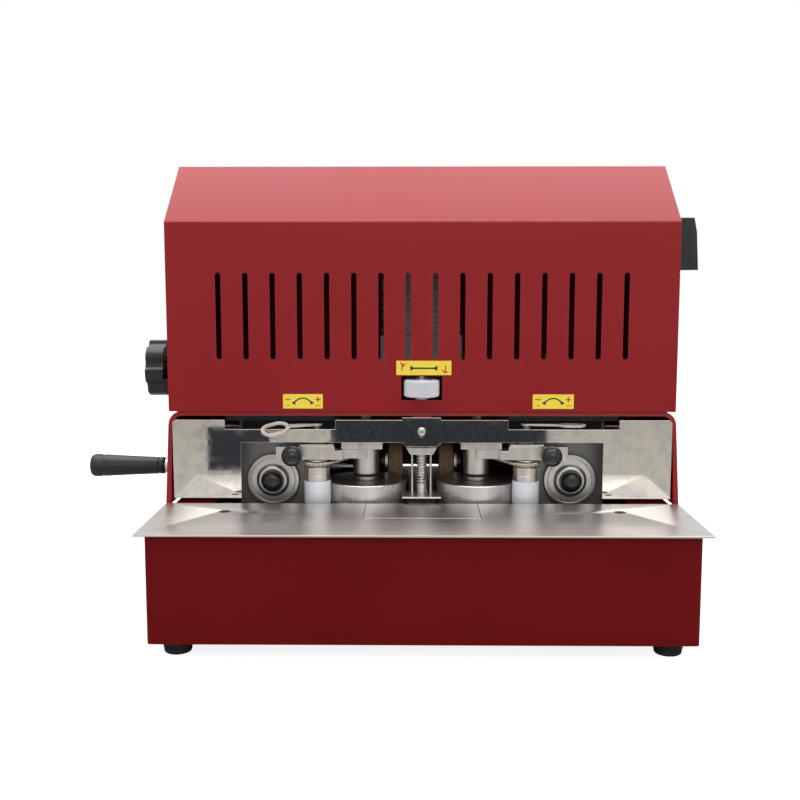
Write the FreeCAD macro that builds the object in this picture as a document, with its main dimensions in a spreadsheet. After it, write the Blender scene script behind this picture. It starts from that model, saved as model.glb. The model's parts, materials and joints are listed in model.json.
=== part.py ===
import FreeCAD, Part
import math
import os
import Sketcher

from FreeCAD import Placement, Rotation, Vector

# A bench-top machine that inks both edges of a leather strap at once.
# A base box carries a steel table.  A bent plate arch stands on it, and a
# housing with the drive stands on the arch.  Under the arch two carriages
# hold the inking wheels, their rollers and their dials.
#
# Machine frame: X = 0 is the mid-plane of the strap, Y = 0 is the table's
# front edge with +Y away from the operator, and Z = 0 is the table's top.

SIZES = {
    # where the machine frame lies in the part's own frame
    "mid_plane": 37.0,
    "depth_back": 340.0,
    "table_height": 110.5,
    # base box, its floor and its feet
    "base_half": 237.7,
    "base_front": 8.2,
    "base_back": 332.0,
    "base_low": -98.5,
    "base_wall": 1.5,
    "base_corner": 4.0,
    "foot_r_top": 14.0,
    "foot_r_low": 12.0,
    "foot_tall": 12.0,
    "foot_x": 214.5,
    "foot_front": 27.0,
    "foot_back": 312.0,
    # table plate, its insert and screws
    "table_half": 245.0,
    "table_back": 124.3,
    "table_thick": 1.7,
    "insert_half": 53.0,
    "insert_front": 64.0,
    "bed_half": 13.0,
    "bed_back": 300.0,
    "table_screw_x": 182.5,
    "table_screw_y": 89.0,
    # arch bent from one plate
    "arch_half": 245.5,
    "arch_top": 86.0,
    "arch_plate": 4.2,
    "arch_corner": 12.5,
    "arch_front": 146.0,
    "arch_foot_front": 126.0,
    "arch_flange": 34.0,
    "well_half": 201.0,
    "well_back": 221.0,
    # mirror guard in front of the wheels
    "guard_half": 239.5,
    "guard_low": 2.8,
    "guard_top": 79.2,
    "guard_front": 134.0,
    "guard_plate": 1.5,
    "guard_open_half": 174.0,
    "guard_bar_low": 57.4,
    "notch_in": 83.0,
    "notch_out": 189.0,
    "notch_low": 70.2,
    "tongue_half": 15.0,
    "tongue_low": 53.4,
    "tab_half": 18.5,
    "keyhole_z": 68.2,
    # housing cover and rear panel
    "cover_half": 245.0,
    "cover_front": 144.4,
    "cover_back": 336.0,
    "cover_low": 86.0,
    "cover_edge": 267.3,
    "cover_ridge_y": 217.4,
    "cover_top": 325.9,
    "cover_sheet": 1.5,
    "vent_count": 16,
    "vent_pitch": 26.0,
    "vent_half": 2.65,
    "vent_low": 136.6,
    "vent_top": 219.4,
    "window_half": 19.7,
    "window_low": 97.4,
    "window_top": 120.6,
    "label_thick": 0.3,
    "panel_low": -8.0,
    "outlet_top": 6.0,
    "outlet_half": 32.0,
    # strap-width adjustment: lead screw with its knob
    "screw_y": 190.0,
    "screw_z": 124.6,
    "screw_r": 6.0,
    "knob_r": 28.0,
    "knob_out": 272.0,
    "knob_in": 250.0,
    # carriages, guide rods and ink trays
    "wheel_x": 55.0,
    "wheel_y": 171.7,
    "wheel_r": 40.0,
    "wheel_low": -8.5,
    "wheel_top": 15.0,
    "stem_r": 13.0,
    "stem_low": 21.4,
    "spindle_r": 6.0,
    "hanger_low": 49.0,
    "hanger_top": 56.0,
    "beam_top": 76.0,
    "block_in": 116.0,
    "block_out": 180.0,
    "block_front": 165.0,
    "block_back": 206.0,
    "block_low": -44.0,
    "tower_in": 122.0,
    "tower_out": 146.0,
    "tower_top": 138.0,
    "guide_y": 184.0,
    "guide_r": 4.5,
    "guide_high": 66.0,
    "guide_deep": -34.0,
    "tray_r": 45.0,
    "tray_low": -26.0,
    "tray_top": -4.5,
    # gear trains and drive belts
    "gear_module": 1.0,
    "jack_teeth": 26,
    "jack_out": 14.9,
    "jack_back": 21.3,
    "jack_r": 3.0,
    "drive_teeth": 28,
    "gear_low": 91.0,
    "gear_thick": 7.0,
    "pulley_low": 101.0,
    "pulley_tall": 9.0,
    "pulley_r": 12.0,
    "belt_r": 2.0,
    "motor_y": 245.0,
    "motor_r": 42.0,
    "stand_low": 116.0,
    "stand_top": 120.0,
    "gearbox_top": 156.0,
    "motor_top": 226.0,
    # swinging arms with their rollers
    "arm_pin_x": 60.0,
    "arm_pin_y": 152.0,
    "arm_low": 39.8,
    "arm_thin_top": 48.7,
    "arm_top": 52.4,
    "arm_front": 138.5,
    "arm_back": 151.5,
    "arm_step": 84.0,
    "arm_in": 53.0,
    "arm_out": 141.0,
    "roller_x": 101.2,
    "roller_y": 144.7,
    "roller_r": 13.0,
    "roller_low": -3.2,
    "roller_top": 19.0,
    "roller_pulley_top": 39.2,
    "jack_low": 32.4,
    "ball_r": 10.0,
    "ball_x": 124.5,
    "ball_y": 129.5,
    "ball_z": 45.0,
    # dials on the carriages
    "dial_x": 146.5,
    "dial_z": 16.0,
    "dial_r": 26.0,
    "dial_ring_r": 16.0,
    "dial_cap_r": 10.3,
    # less-and-more levers under the arch
    "lever_x": 102.0,
    "lever_y": 150.0,
    "lever_low": 72.0,
    "lever_thick": 2.0,
    # hold-down foot and its height adjustment
    "rod_y": 152.0,
    "rod_r": 4.0,
    "thumb_r": 17.5,
    "thumb_low": 100.2,
    "thumb_top": 117.0,
    "foot_plate_low": 4.4,
    "foot_plate_top": 6.0,
    "foot_plate_half": 18.7,
    "seat_low": 44.0,
    "seat_top": 51.0,
    "spring_r": 4.95,
    "spring_wire": 0.6,
    # press wheels behind the inking wheels
    "press_y": 236.0,
    "press_z": 22.0,
    "press_r": 20.0,
    "yoke_y": 286.0,
    "yoke_z": 52.0,
    "lift_y": 222.0,
    "lift_z": 18.8,
    "lift_pin_x": -212.0,
    "grip_tip": -345.6,
    "grip_neck": -268.0,
    # switch pod and power inlet
    "pod_front": 180.0,
    "pod_back": 240.0,
    "pod_low": 222.0,
    "pod_top": 273.0,
    "pod_out": 271.6,
}

# Gap of a running fit, and between pieces that only come near each other.
FIT = 0.05
NEAR = 0.3

doc = FreeCAD.newDocument("strap_edge_inker")
sheet = doc.addObject("Spreadsheet::Sheet", "Sizes")


class Size:
    """A length or place, as a number and as the sheet expression behind it."""

    def __init__(self, text, value):
        self.text = text
        self.value = value

    def __add__(self, other):
        other = as_size(other)
        return Size(f"({self.text} + {other.text})", self.value + other.value)

    def __sub__(self, other):
        other = as_size(other)
        return Size(f"({self.text} - {other.text})", self.value - other.value)

    def __mul__(self, other):
        other = as_size(other)
        return Size(f"({self.text} * {other.text})", self.value * other.value)

    def __truediv__(self, other):
        other = as_size(other)
        return Size(f"({self.text} / {other.text})", self.value / other.value)

    def __neg__(self):
        return Size(f"(-1 * {self.text})", -self.value)

    def __radd__(self, other):
        return as_size(other) + self

    def __rsub__(self, other):
        return as_size(other) - self

    def __rmul__(self, other):
        return self * other


def as_size(item):
    if isinstance(item, Size):
        return item
    return Size(f"({float(item):.6f})", float(item))


class Sheet:
    """The sheet's cells, each read as an attribute with its alias for a name."""


for row, (alias, number) in enumerate(SIZES.items(), start=1):
    sheet.set(f"A{row}", alias)
    sheet.set(f"B{row}", str(number))
    sheet.setAlias(f"B{row}", alias)
    setattr(Sheet, alias, Size(f"Sizes.{alias}", float(number)))
doc.recompute()

S = Sheet
sub_parts = []
places = {}


def ordered(pair):
    """Two places along an axis, the lower one first."""
    return sorted((as_size(place) for place in pair), key=lambda place: place.value)


def put(obj, place, turn=None):
    """Places an object, each coordinate bound to the sheet."""
    if turn:
        obj.Placement = Placement(Vector(), turn)
    places[obj.Name] = [as_size(coordinate) for coordinate in place]
    for letter, coordinate in zip("xyz", places[obj.Name]):
        obj.setExpression(".Placement.Base." + letter, coordinate.text)
    return obj


def block(x, y, z):
    """A box that spans the given pairs of places along X, Y and Z."""
    box = doc.addObject("Part::Box", "block")
    spans = [ordered(pair) for pair in (x, y, z)]
    for name, (low, high) in zip(("Length", "Width", "Height"), spans):
        box.setExpression(name, (high - low).text)
    return put(box, [low for low, high in spans])


ALONG = {
    "x": Rotation(Vector(0, 1, 0), 90),
    "y": Rotation(Vector(1, 0, 0), -90),
    "z": Rotation(),
}


def along(axis, low, centre):
    """The point at `low` on a line parallel to `axis` through `centre`."""
    first, second = centre
    return {"x": (low, first, second), "y": (first, low, second), "z": (first, second, low)}[axis]


def rod(axis, radius, span, centre):
    """A round bar along one axis, about a centre in the other two coordinates."""
    low, high = ordered(span)
    bar = doc.addObject("Part::Cylinder", "rod")
    bar.setExpression("Radius", as_size(radius).text)
    bar.setExpression("Height", (high - low).text)
    return put(bar, along(axis, low, centre), ALONG[axis])


def fuse(*solids):
    joined = doc.addObject("Part::MultiFuse", "fuse")
    joined.Shapes = list(solids)
    joined.Refine = True
    return put(joined, (0, 0, 0))


def group(*solids):
    """Separate solids of one node."""
    together = doc.addObject("Part::Compound", "group")
    together.Links = list(solids)
    return put(together, (0, 0, 0))


def cut(base, *tools):
    result = doc.addObject("Part::Cut", "cut")
    result.Base = base
    result.Tool = tools[0] if len(tools) == 1 else fuse(*tools)
    return put(result, (0, 0, 0))


def sketch_on(body, role, outlines):
    """A fully bound sketch.  An outline is a list of points, or (x, y, radius) for a circle."""
    sketch = body.newObject("Sketcher::SketchObject", "outline")
    plane = next(item for item in body.Origin.OriginFeatures if item.Role == role)
    sketch.AttachmentSupport = [(plane, "")]
    sketch.MapMode = "FlatFace"
    bound = []

    def pin(geometry, point, place):
        for kind, axis, coordinate in zip(("DistanceX", "DistanceY"), (-2, -1), place):
            if abs(coordinate.value) < 1e-9:
                bound.append((("PointOnObject", geometry, point, axis), None))
            else:
                bound.append(((kind, -1, 1, geometry, point, coordinate.value), coordinate.text))

    for outline in outlines:
        if isinstance(outline, tuple):
            x, y, radius = (as_size(item) for item in outline)
            circle = Part.Circle(Vector(x.value, y.value, 0), Vector(0, 0, 1), radius.value)
            index = sketch.addGeometry(circle, False)
            bound.append((("Radius", index, radius.value), radius.text))
            pin(index, 3, (x, y))
            continue
        points = [(as_size(x), as_size(y)) for x, y in outline]
        corners = [Vector(x.value, y.value, 0) for x, y in points]
        count = len(points)
        first = sketch.GeometryCount
        for index in range(count):
            sketch.addGeometry(Part.LineSegment(corners[index], corners[(index + 1) % count]), False)
        for index in range(count):
            following = first + (index + 1) % count
            bound.append((("Coincident", first + index, 2, following, 1), None))
            pin(first + index, 1, points[index])
    for arguments, text in bound:
        number = sketch.addConstraint(Sketcher.Constraint(*arguments))
        if text:
            sketch.setExpression(f"Constraints[{number}]", text)
    return sketch


def extruded(role, outlines, span):
    """A body padded from outlines drawn on one origin plane, over a span of the third axis."""
    low, high = ordered(span)
    body = doc.addObject("PartDesign::Body", "body")
    sketch = sketch_on(body, role, outlines)
    pad = body.newObject("PartDesign::Pad", "pad")
    pad.Profile = sketch
    pad.setExpression("Length", (high - low).text)
    starts = {"XY_Plane": (0, 0, low), "XZ_Plane": (0, high, 0), "YZ_Plane": (low, 0, 0)}
    return put(body, starts[role])


def turned(points, axis="z", centre=(0, 0)):
    """A body turned from half its outline: (radius, place along the axis) points."""
    body = doc.addObject("PartDesign::Body", "body")
    sketch = sketch_on(body, "XZ_Plane", [points])
    turn = body.newObject("PartDesign::Revolution", "turn")
    turn.Profile = sketch
    turn.ReferenceAxis = (sketch, ["V_Axis"])
    turn.Angle = 360
    return put(body, along(axis, 0, centre), ALONG[axis])


def rounded(body, radius, pick):
    """Rounds the body's edges that `pick` accepts."""
    doc.recompute()
    names = [f"Edge{number}" for number, edge in enumerate(body.Tip.Shape.Edges, start=1) if pick(edge)]
    fillet = body.newObject("PartDesign::Fillet", "fillet")
    fillet.Base = (body.Tip if body.Tip != fillet else fillet.BaseFeature, names)
    fillet.setExpression("Radius", as_size(radius).text)
    body.Tip = fillet
    return body


def sub_part(name, obj):
    """Names a finished sub-part and carries it from the machine frame to the part's frame."""
    obj.Label = name
    to_part = (S.mid_plane, -S.depth_back / 2, S.table_height)
    for letter, coordinate, shift in zip("xyz", places[obj.Name], to_part):
        obj.setExpression(".Placement.Base." + letter, (coordinate + shift).text)
    sub_parts.append(obj)
    return obj


SIDES = (("left", -1), ("right", 1))


def base_and_table():
    """The folded base box with a well behind the table, its floor, feet and table plates."""
    well_front = S.table_back + 0.4
    skin = S.base_wall
    low = S.base_low
    top = -S.table_thick
    shell = extruded("XY_Plane", [[
        (-S.base_half, S.base_front), (S.base_half, S.base_front),
        (S.base_half, S.base_back), (-S.base_half, S.base_back)]], (low, top))
    rounded(shell, S.base_corner, upright_edge)
    room = block((skin - S.base_half, S.base_half - skin), (S.base_front + skin, S.base_back - skin),
                 (low - 1, top - skin))
    well = block((-S.well_half, S.well_half), (well_front, S.well_back), (top - 5, top + 1))
    sub_part("base_box", cut(shell, room, well))
    ledge = skin + NEAR
    sub_part("base_floor", block((ledge - S.base_half, S.base_half - ledge),
                                 (S.base_front + ledge, S.base_back - ledge), (low, low + 2)))
    feet = [turned([(0, low), (S.foot_r_top, low), (S.foot_r_low, low - S.foot_tall), (0, low - S.foot_tall)],
                   "z", (side * S.foot_x, y))
            for word, side in SIDES for y in (S.foot_front, S.foot_back)]
    sub_part("rubber_feet", group(*feet))

    holes = [(side * S.table_screw_x, S.table_screw_y, 2.6) for word, side in SIDES]
    gap = 0.4
    edge = S.insert_half + gap
    plate = extruded("XY_Plane", [[
        (-S.table_half, 0), (S.table_half, 0), (S.table_half, S.table_back), (edge, S.table_back),
        (edge, S.insert_front - gap), (-edge, S.insert_front - gap), (-edge, S.table_back),
        (-S.table_half, S.table_back)]] + holes, (top, 0))
    seats = [turned([(0, 0.5), (6.5, 0.5), (2.6, -S.table_thick), (0, -S.table_thick)],
                    "z", (side * S.table_screw_x, S.table_screw_y)) for word, side in SIDES]
    sub_part("table_plate", cut(plate, *seats))
    sub_part("table_insert", extruded("XY_Plane", [[
        (-S.insert_half, S.insert_front), (S.insert_half, S.insert_front), (S.insert_half, S.table_back),
        (S.bed_half, S.table_back), (S.bed_half, S.bed_back), (-S.bed_half, S.bed_back),
        (-S.bed_half, S.table_back), (-S.insert_half, S.table_back)]], (top, 0)))
    screws = [cut(turned([(0, 0), (5.6, 0), (2.4, -S.table_thick), (0, -S.table_thick)],
                         "z", (side * S.table_screw_x, S.table_screw_y)),
                  rod("z", 1.8, (-1, 1), (side * S.table_screw_x, S.table_screw_y)))
              for word, side in SIDES]
    sub_part("table_screws", group(*screws))


def upright_edge(edge):
    first, last = (vertex.Point for vertex in edge.Vertexes)
    return abs(first.x - last.x) < 1e-6 and abs(first.y - last.y) < 1e-6


def arch():
    """The arch: one bent plate whose feet turn inwards on the base, with a lug that holds the guard."""
    half, top, plate = S.arch_half, S.arch_top, S.arch_plate
    inner = half - plate
    foot_low = -S.table_thick
    foot_top = foot_low + plate
    toe = half - S.arch_flange
    frame = extruded("XZ_Plane", [[
        (-half, foot_low), (-toe, foot_low), (-toe, foot_top), (-inner, foot_top), (-inner, top - plate),
        (inner, top - plate), (inner, foot_top), (toe, foot_top), (toe, foot_low), (half, foot_low),
        (half, top), (-half, top)]], (S.arch_foot_front, S.base_back))

    def outer_corner(edge):
        point = edge.CenterOfMass
        return edge.Length > 100 and abs(point.z - top.value) < 0.01 and abs(abs(point.x) - half.value) < 0.01

    def inner_corner(edge):
        point = edge.CenterOfMass
        return (edge.Length > 100 and abs(point.z - (top - plate).value) < 0.01
                and abs(abs(point.x) - inner.value) < 0.01)

    rounded(frame, S.arch_corner, outer_corner)
    rounded(frame, S.arch_corner - plate, inner_corner)
    slant = extruded("YZ_Plane", [[
        (S.arch_foot_front - 9, foot_low - 9), (S.arch_foot_front - 9, top + 9),
        (S.arch_front + 2.5, top + 9), (S.arch_foot_front - 2.5, foot_low - 9)]], (-half - 5, half + 5))
    windows = [block((side * 44, side * 168), (160.5, 209), (top - 6, top + 1)) for word, side in SIDES]
    rod_hole = rod("z", 5, (top - 6, top + 1), (0, S.rod_y))
    handle_slot = block((-half - 1, -inner + 1), (S.lift_y - 8, S.lift_y + 8), (S.lift_z - 11, S.lift_z + 11))
    set_back = [block((side * (toe - 1), side * inner), (S.arch_foot_front - 9, 160),
                      (foot_low - 1, foot_top + 1)) for word, side in SIDES]
    lug = block((-9, 9), (S.guard_front + S.guard_plate, S.rod_y - S.rod_r - 1), (64.5, top - plate))
    sub_part("arch_frame", fuse(cut(frame, slant, rod_hole, handle_slot, *set_back, *windows), lug))


def guard():
    """The mirror-polished guard and the screw it hangs on by its keyhole slot."""
    half, top = S.guard_half, S.guard_top
    tab_top = S.arch_top - S.arch_plate - 0.2
    shoulder = S.tongue_half + S.guard_bar_low - S.tongue_low
    right = [
        (S.tab_half, tab_top), (S.tab_half, top), (S.notch_in, top), (S.notch_in, S.notch_low),
        (S.notch_out, S.notch_low), (S.notch_out, top), (half - 2.5, top), (half, top - 2.5),
        (half, S.guard_low), (S.guard_open_half, S.guard_low), (S.guard_open_half, S.guard_bar_low),
        (shoulder, S.guard_bar_low), (S.tongue_half, S.tongue_low)]
    outline = right + [(-x, z) for x, z in reversed(right)]
    panel = extruded("XZ_Plane", [outline], (S.guard_front, S.guard_front + S.guard_plate))
    slot_r = 2.3
    through = (S.guard_front - 1, S.guard_front + 4)
    ends = [rod("y", slot_r, through, (0, S.keyhole_z + lift)) for lift in (-3.6, 0)]
    neck = block((-slot_r, slot_r), through, (S.keyhole_z - 3.6, S.keyhole_z))
    back = S.guard_front + S.guard_plate
    folds = [block((side * start, side * end), (back - 0.5, back + 7.5), (top - S.guard_plate, top))
             for word, side in SIDES for start, end in ((S.tab_half, S.notch_in), (S.notch_out, half - 2.5))]
    slits = [block((side * 177, side * 183), (S.guard_front - 1, back + 1), (6, 7)) for word, side in SIDES]
    sub_part("guard_panel", fuse(cut(panel, neck, *ends, *slits), *folds))
    head = [(0, 0), (3.9, 0), (3.9, -1.6), (3.0, -2.6), (0, -2.6)]
    front = S.guard_front
    screw = turned([(x, front + y) for x, y in head], "y", (0, S.keyhole_z))
    shank = rod("y", 1.9, (front - 0.1, front + S.guard_plate), (0, S.keyhole_z))
    recess = rod("y", 1.1, (front - 3, front - 1.4), (0, S.keyhole_z))
    sub_part("guard_screw", cut(fuse(screw, shank), recess))


def housing():
    """The folded cover with its vents and thumb-wheel window, the rear panel, and the labels."""
    half, skin, low = S.cover_half, S.cover_sheet, S.cover_low
    panel_front = S.cover_back - skin

    def profile(inset):
        return [(S.cover_front + inset, low - inset), (S.cover_front + inset, S.cover_edge - inset * 0.4),
                (S.cover_ridge_y + inset * 0.4, S.cover_top - inset),
                (S.cover_back + inset * 2, S.cover_top - inset),
                (S.cover_back + inset * 2, low - inset)]

    shell = extruded("YZ_Plane", [profile(as_size(0))], (-half, half))
    rounded(shell, 2.5, lambda edge: edge.Length > 400 and edge.CenterOfMass.z > 200
            and edge.CenterOfMass.y < S.cover_back.value - 1)
    room = extruded("YZ_Plane", [profile(skin)], (skin - half, half - skin))
    front = (S.cover_front - 1, S.cover_front + skin + 1)
    vents = []
    for index in range(int(S.vent_count.value)):
        x = S.vent_pitch * (index - (S.vent_count.value - 1) / 2)
        vents.append(block((x - S.vent_half, x + S.vent_half), front,
                           (S.vent_low + S.vent_half, S.vent_top - S.vent_half)))
        vents.append(rod("y", S.vent_half, front, (x, S.vent_low + S.vent_half)))
        vents.append(rod("y", S.vent_half, front, (x, S.vent_top - S.vent_half)))
    window = block((-S.window_half, S.window_half), front, (S.window_low, S.window_top))
    shaft_hole = rod("x", S.screw_r + 2, (-half - 1, 3 - half), (S.screw_y, S.screw_z))
    sub_part("housing_cover", cut(shell, room, window, shaft_hole, *vents))

    panel = block((skin - half, half - skin), (panel_front, S.cover_back), (S.panel_low, S.cover_top - skin))
    outlet = block((-S.outlet_half, S.outlet_half), (panel_front - 1, S.cover_back + 1),
                   (S.panel_low - 1, S.outlet_top))
    louvres = [block((x - 30, x + 30), (panel_front - 1, S.cover_back + 1), (z - 2, z + 2))
               for x in (-120, 120) for z in (236, 248, 260, 272, 284)]
    inlet_hole = block((-186, -158), (panel_front - 1, S.cover_back + 1), (112, 132))
    sub_part("rear_panel", cut(panel, inlet_hole, outlet, *louvres))
    inlet_back = S.depth_back
    flange = block((-190, -154), (S.cover_back, inlet_back), (108, 136))
    socket = block((-185.5, -158.5), (S.cover_back - 22, S.cover_back), (112.5, 131.5))
    hollow = block((-184, -160), (S.cover_back - 16, inlet_back + 1), (115, 129))
    pins = [block((x - 1, x + 1), (S.cover_back - 16, inlet_back - 4), (z - 2.2, z + 2.2))
            for x, z in ((-179, 120), (-172, 124), (-165, 120))]
    sub_part("power_inlet", fuse(cut(fuse(flange, socket), hollow), *pins))

    face = (S.cover_front - S.label_thick, S.cover_front)
    sub_part("labels", group(
        block((-24.5, 28.5), face, (S.window_top + 1.0, S.window_top + 14.8)),
        block((-134, -95.5), face, (89, 103)),
        block((107, 146.5), face, (89, 103))))


def switch():
    """The wedge-shaped switch pod on the housing's right side, and its rocker."""
    side, out = S.cover_half, S.pod_out
    middle = (S.pod_front + S.pod_back) / 2
    pod = extruded("XZ_Plane", [[
        (side, S.pod_low), (out, S.pod_low), (out - 2.2, S.pod_top - 14),
        (out - 5, S.pod_top), (side, S.pod_top)]],
        (S.pod_front, S.pod_back))
    recess = block((out - 10, out + 2), (middle - 14, middle + 14), (S.pod_low + 8, S.pod_low + 32))
    sub_part("switch_pod", cut(pod, recess))
    face = out - 1.4
    pivot_z = S.pod_low + 20
    rocker = extruded("XZ_Plane", [[
        (face - 6, pivot_z - 9), (face - 2.8, pivot_z - 10.6), (face - 2.4, pivot_z),
        (face + 0.4, pivot_z + 10.6),
        (face - 6, pivot_z + 9)]], (middle - 13.5, middle + 13.5))
    pins = rod("y", 1.5, (middle - 13.9, middle + 13.9), (face - 4.5, pivot_z))
    sub_part("power_rocker", fuse(rocker, pins))


def gear_outline(teeth, module, turn):
    """The corner points of a spur gear's straight-flanked teeth."""
    pitch_r = teeth * module / 2
    root, tip = pitch_r - 1.15 * module, pitch_r + 0.8 * module
    points = []
    for index in range(teeth):
        middle = (index + turn) * 2 * math.pi / teeth
        for radius, half_width in ((root, 1.0), (tip, 0.42)):
            angle = half_width * module / radius
            points.append((radius, middle - angle))
        for radius, half_width in ((tip, 0.42), (root, 1.0)):
            angle = half_width * module / radius
            points.append((radius, middle + angle))
    return [Vector(radius * math.cos(angle), radius * math.sin(angle), 0) for radius, angle in points]


def gear(teeth, centre, facing):
    """A toothed disc with the middle of a tooth at the angle `facing`, in degrees."""
    count = int(teeth.value)
    corners = gear_outline(count, S.gear_module.value, facing * count / 360)
    face = Part.Face(Part.makePolygon(corners + corners[:1]))
    feature = doc.addObject("Part::Feature", "gear")
    feature.Shape = face.extrude(Vector(0, 0, S.gear_thick.value))
    return put(feature, (centre[0], centre[1], S.gear_low))


def grooved_pulley(radius, low, tall, centre):
    """A pulley with a round groove round its middle."""
    middle = low + tall / 2
    drum = rod("z", radius, (low, low + tall), centre)
    groove = doc.addObject("Part::Torus", "groove")
    groove.setExpression("Radius1", as_size(radius).text)
    groove.setExpression("Radius2", (S.belt_r + 0.2).text)
    return cut(drum, put(groove, (centre[0], centre[1], middle)))


def drive():
    """The gear motor on its stand, and the meshed pair of drive gears with their pulleys."""
    middle_x = S.drive_teeth * S.gear_module / 2
    body = rod("z", S.motor_r, (S.gearbox_top, S.motor_top), (0, S.motor_y))
    box = block((-S.motor_r, S.motor_r), (S.motor_y - S.motor_r, S.motor_y + S.motor_r),
                (S.stand_top, S.gearbox_top))
    cap = rod("z", S.motor_r - 9, (S.motor_top, S.motor_top + 4), (0, S.motor_y))
    sub_part("gear_motor", fuse(body, box, cap))
    pillar_places = [(x, y) for x in (-74, 74) for y in (216, 290)]
    deck = block((-82, 82), (207, 298), (S.stand_low, S.stand_top))
    pillars = [rod("z", 5, (S.arch_top, S.stand_low), place) for place in pillar_places]
    bores = [rod("z", 4 + FIT, (S.stand_low - 1, S.stand_top + 1), (side * middle_x, S.motor_y))
             for word, side in SIDES]
    sub_part("motor_stand", cut(fuse(deck, *pillars), *bores))
    half_tooth = 180 / S.drive_teeth.value
    for (word, side), facing in zip(SIDES, (0, half_tooth)):
        centre = (side * middle_x, S.motor_y)
        shaft = rod("z", 4, (S.arch_top + 0.5, S.stand_top - 0.2), centre)
        pulley = grooved_pulley(S.pulley_r, S.pulley_low, S.pulley_tall, centre)
        sub_part(f"drive_gear_{word}", fuse(shaft, gear(S.drive_teeth, centre, facing), pulley))


def width_adjustment():
    """The lead screw, its bearings and its lobed knob, and the two rods the carriages slide on."""
    centre = (S.screw_y, S.screw_z)
    bearing_x = S.block_out + 35
    screw = rod("x", S.screw_r, (-S.cover_half - 5, bearing_x + 8), centre)
    hub_face = S.knob_in
    sub_part("lead_screw", screw)
    blocks = [cut(block((side * bearing_x, side * (bearing_x + 7)), (S.screw_y - 10, S.screw_y + 10),
                        (S.arch_top, S.screw_z + 11)),
                  rod("x", S.screw_r + FIT, (side * (bearing_x - 1), side * (bearing_x + 8)), centre))
              for word, side in SIDES]
    sub_part("screw_bearings", group(*blocks))
    lobes = rod("x", S.knob_r, (-S.knob_out, -hub_face - 4), centre)
    hub = rod("x", 12, (-hub_face - 4, -S.cover_half - NEAR), centre)
    lobe_count = 7
    ring = S.knob_r + 4.5
    scallops = []
    for index in range(lobe_count):
        angle = 2 * math.pi * (index + 0.5) / lobe_count
        scallops.append(rod("x", 8, (-S.knob_out - 1, -hub_face - 3),
                            (S.screw_y + ring * math.sin(angle), S.screw_z + ring * math.cos(angle))))
    bore = rod("x", S.screw_r, (-S.cover_half - 5, -S.cover_half), centre)
    sub_part("width_knob", cut(fuse(lobes, hub), bore, *scallops))
    inside = S.base_half - S.base_wall
    arch_inside = S.arch_half - S.arch_plate
    sub_part("guide_rods", group(
        rod("x", S.guide_r, (-arch_inside, arch_inside), (S.guide_y, S.guide_high)),
        rod("x", S.guide_r, (-inside, inside), (S.guide_y, S.guide_deep))))


def wheel_centre(side):
    return side * S.wheel_x, S.wheel_y


def jack_centre(side):
    """The jackshaft's axis, one gear pitch behind and outside the wheel's."""
    return side * (S.wheel_x + S.jack_out), S.wheel_y + S.jack_back


def carriage(word, side):
    """One sliding carriage: side block, beam and stem over the wheel, nut tower and ink tray."""
    wheel = wheel_centre(side)
    jack = jack_centre(side)
    pin = (side * S.arm_pin_x, S.arm_pin_y)
    cast = fuse(
        block((side * S.block_in, side * S.block_out), (S.block_front, S.block_back),
              (S.block_low, S.beam_top)),
        block((side * 38, side * S.block_in), (161, S.block_back), (S.hanger_top, S.beam_top)),
        block((side * 38, side * 78), (145, S.block_back), (S.hanger_low, S.hanger_top)),
        rod("z", S.stem_r, (S.stem_low, S.hanger_low), wheel),
        block((side * S.tower_in, side * S.tower_out), (S.screw_y - 11, S.screw_y + 11),
              (S.beam_top, S.tower_top)))
    bores = [
        rod("z", S.spindle_r + FIT, (S.stem_low - 1, S.beam_top + 1), wheel),
        rod("z", S.jack_r + FIT, (S.hanger_low - 1, S.beam_top + 1), jack),
        rod("x", S.guide_r + FIT, (side * 30, side * 190), (S.guide_y, S.guide_high)),
        rod("x", S.guide_r + FIT, (side * 110, side * 190), (S.guide_y, S.guide_deep)),
        rod("x", S.screw_r + FIT, (side * 118, side * 150), (S.screw_y, S.screw_z)),
        rod("y", 5 + FIT, (S.block_front - 1, S.block_front + 22), (side * S.dial_x, S.dial_z)),
        rod("z", 2.5 + FIT, (S.hanger_low - 1, S.hanger_top + 1), pin)]
    sub_part(f"carriage_{word}", cut(cast, *bores))
    cup = turned([(0, S.tray_low), (S.tray_r, S.tray_low), (S.tray_r, S.tray_top), (S.tray_r - 2, S.tray_top),
                  (S.tray_r - 2, S.tray_low + 2), (0, S.tray_low + 2)], "z", wheel)
    ear = block((side * (S.wheel_x + S.tray_r - 3), side * S.block_in), (S.block_front, S.block_front + 20),
                (S.tray_low, S.tray_low + 3))
    cup_room = rod("z", S.tray_r - 2, (S.tray_low + 2, S.tray_top), wheel)
    sub_part(f"ink_tray_{word}", fuse(cup, cut(ear, cup_room)))


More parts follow.
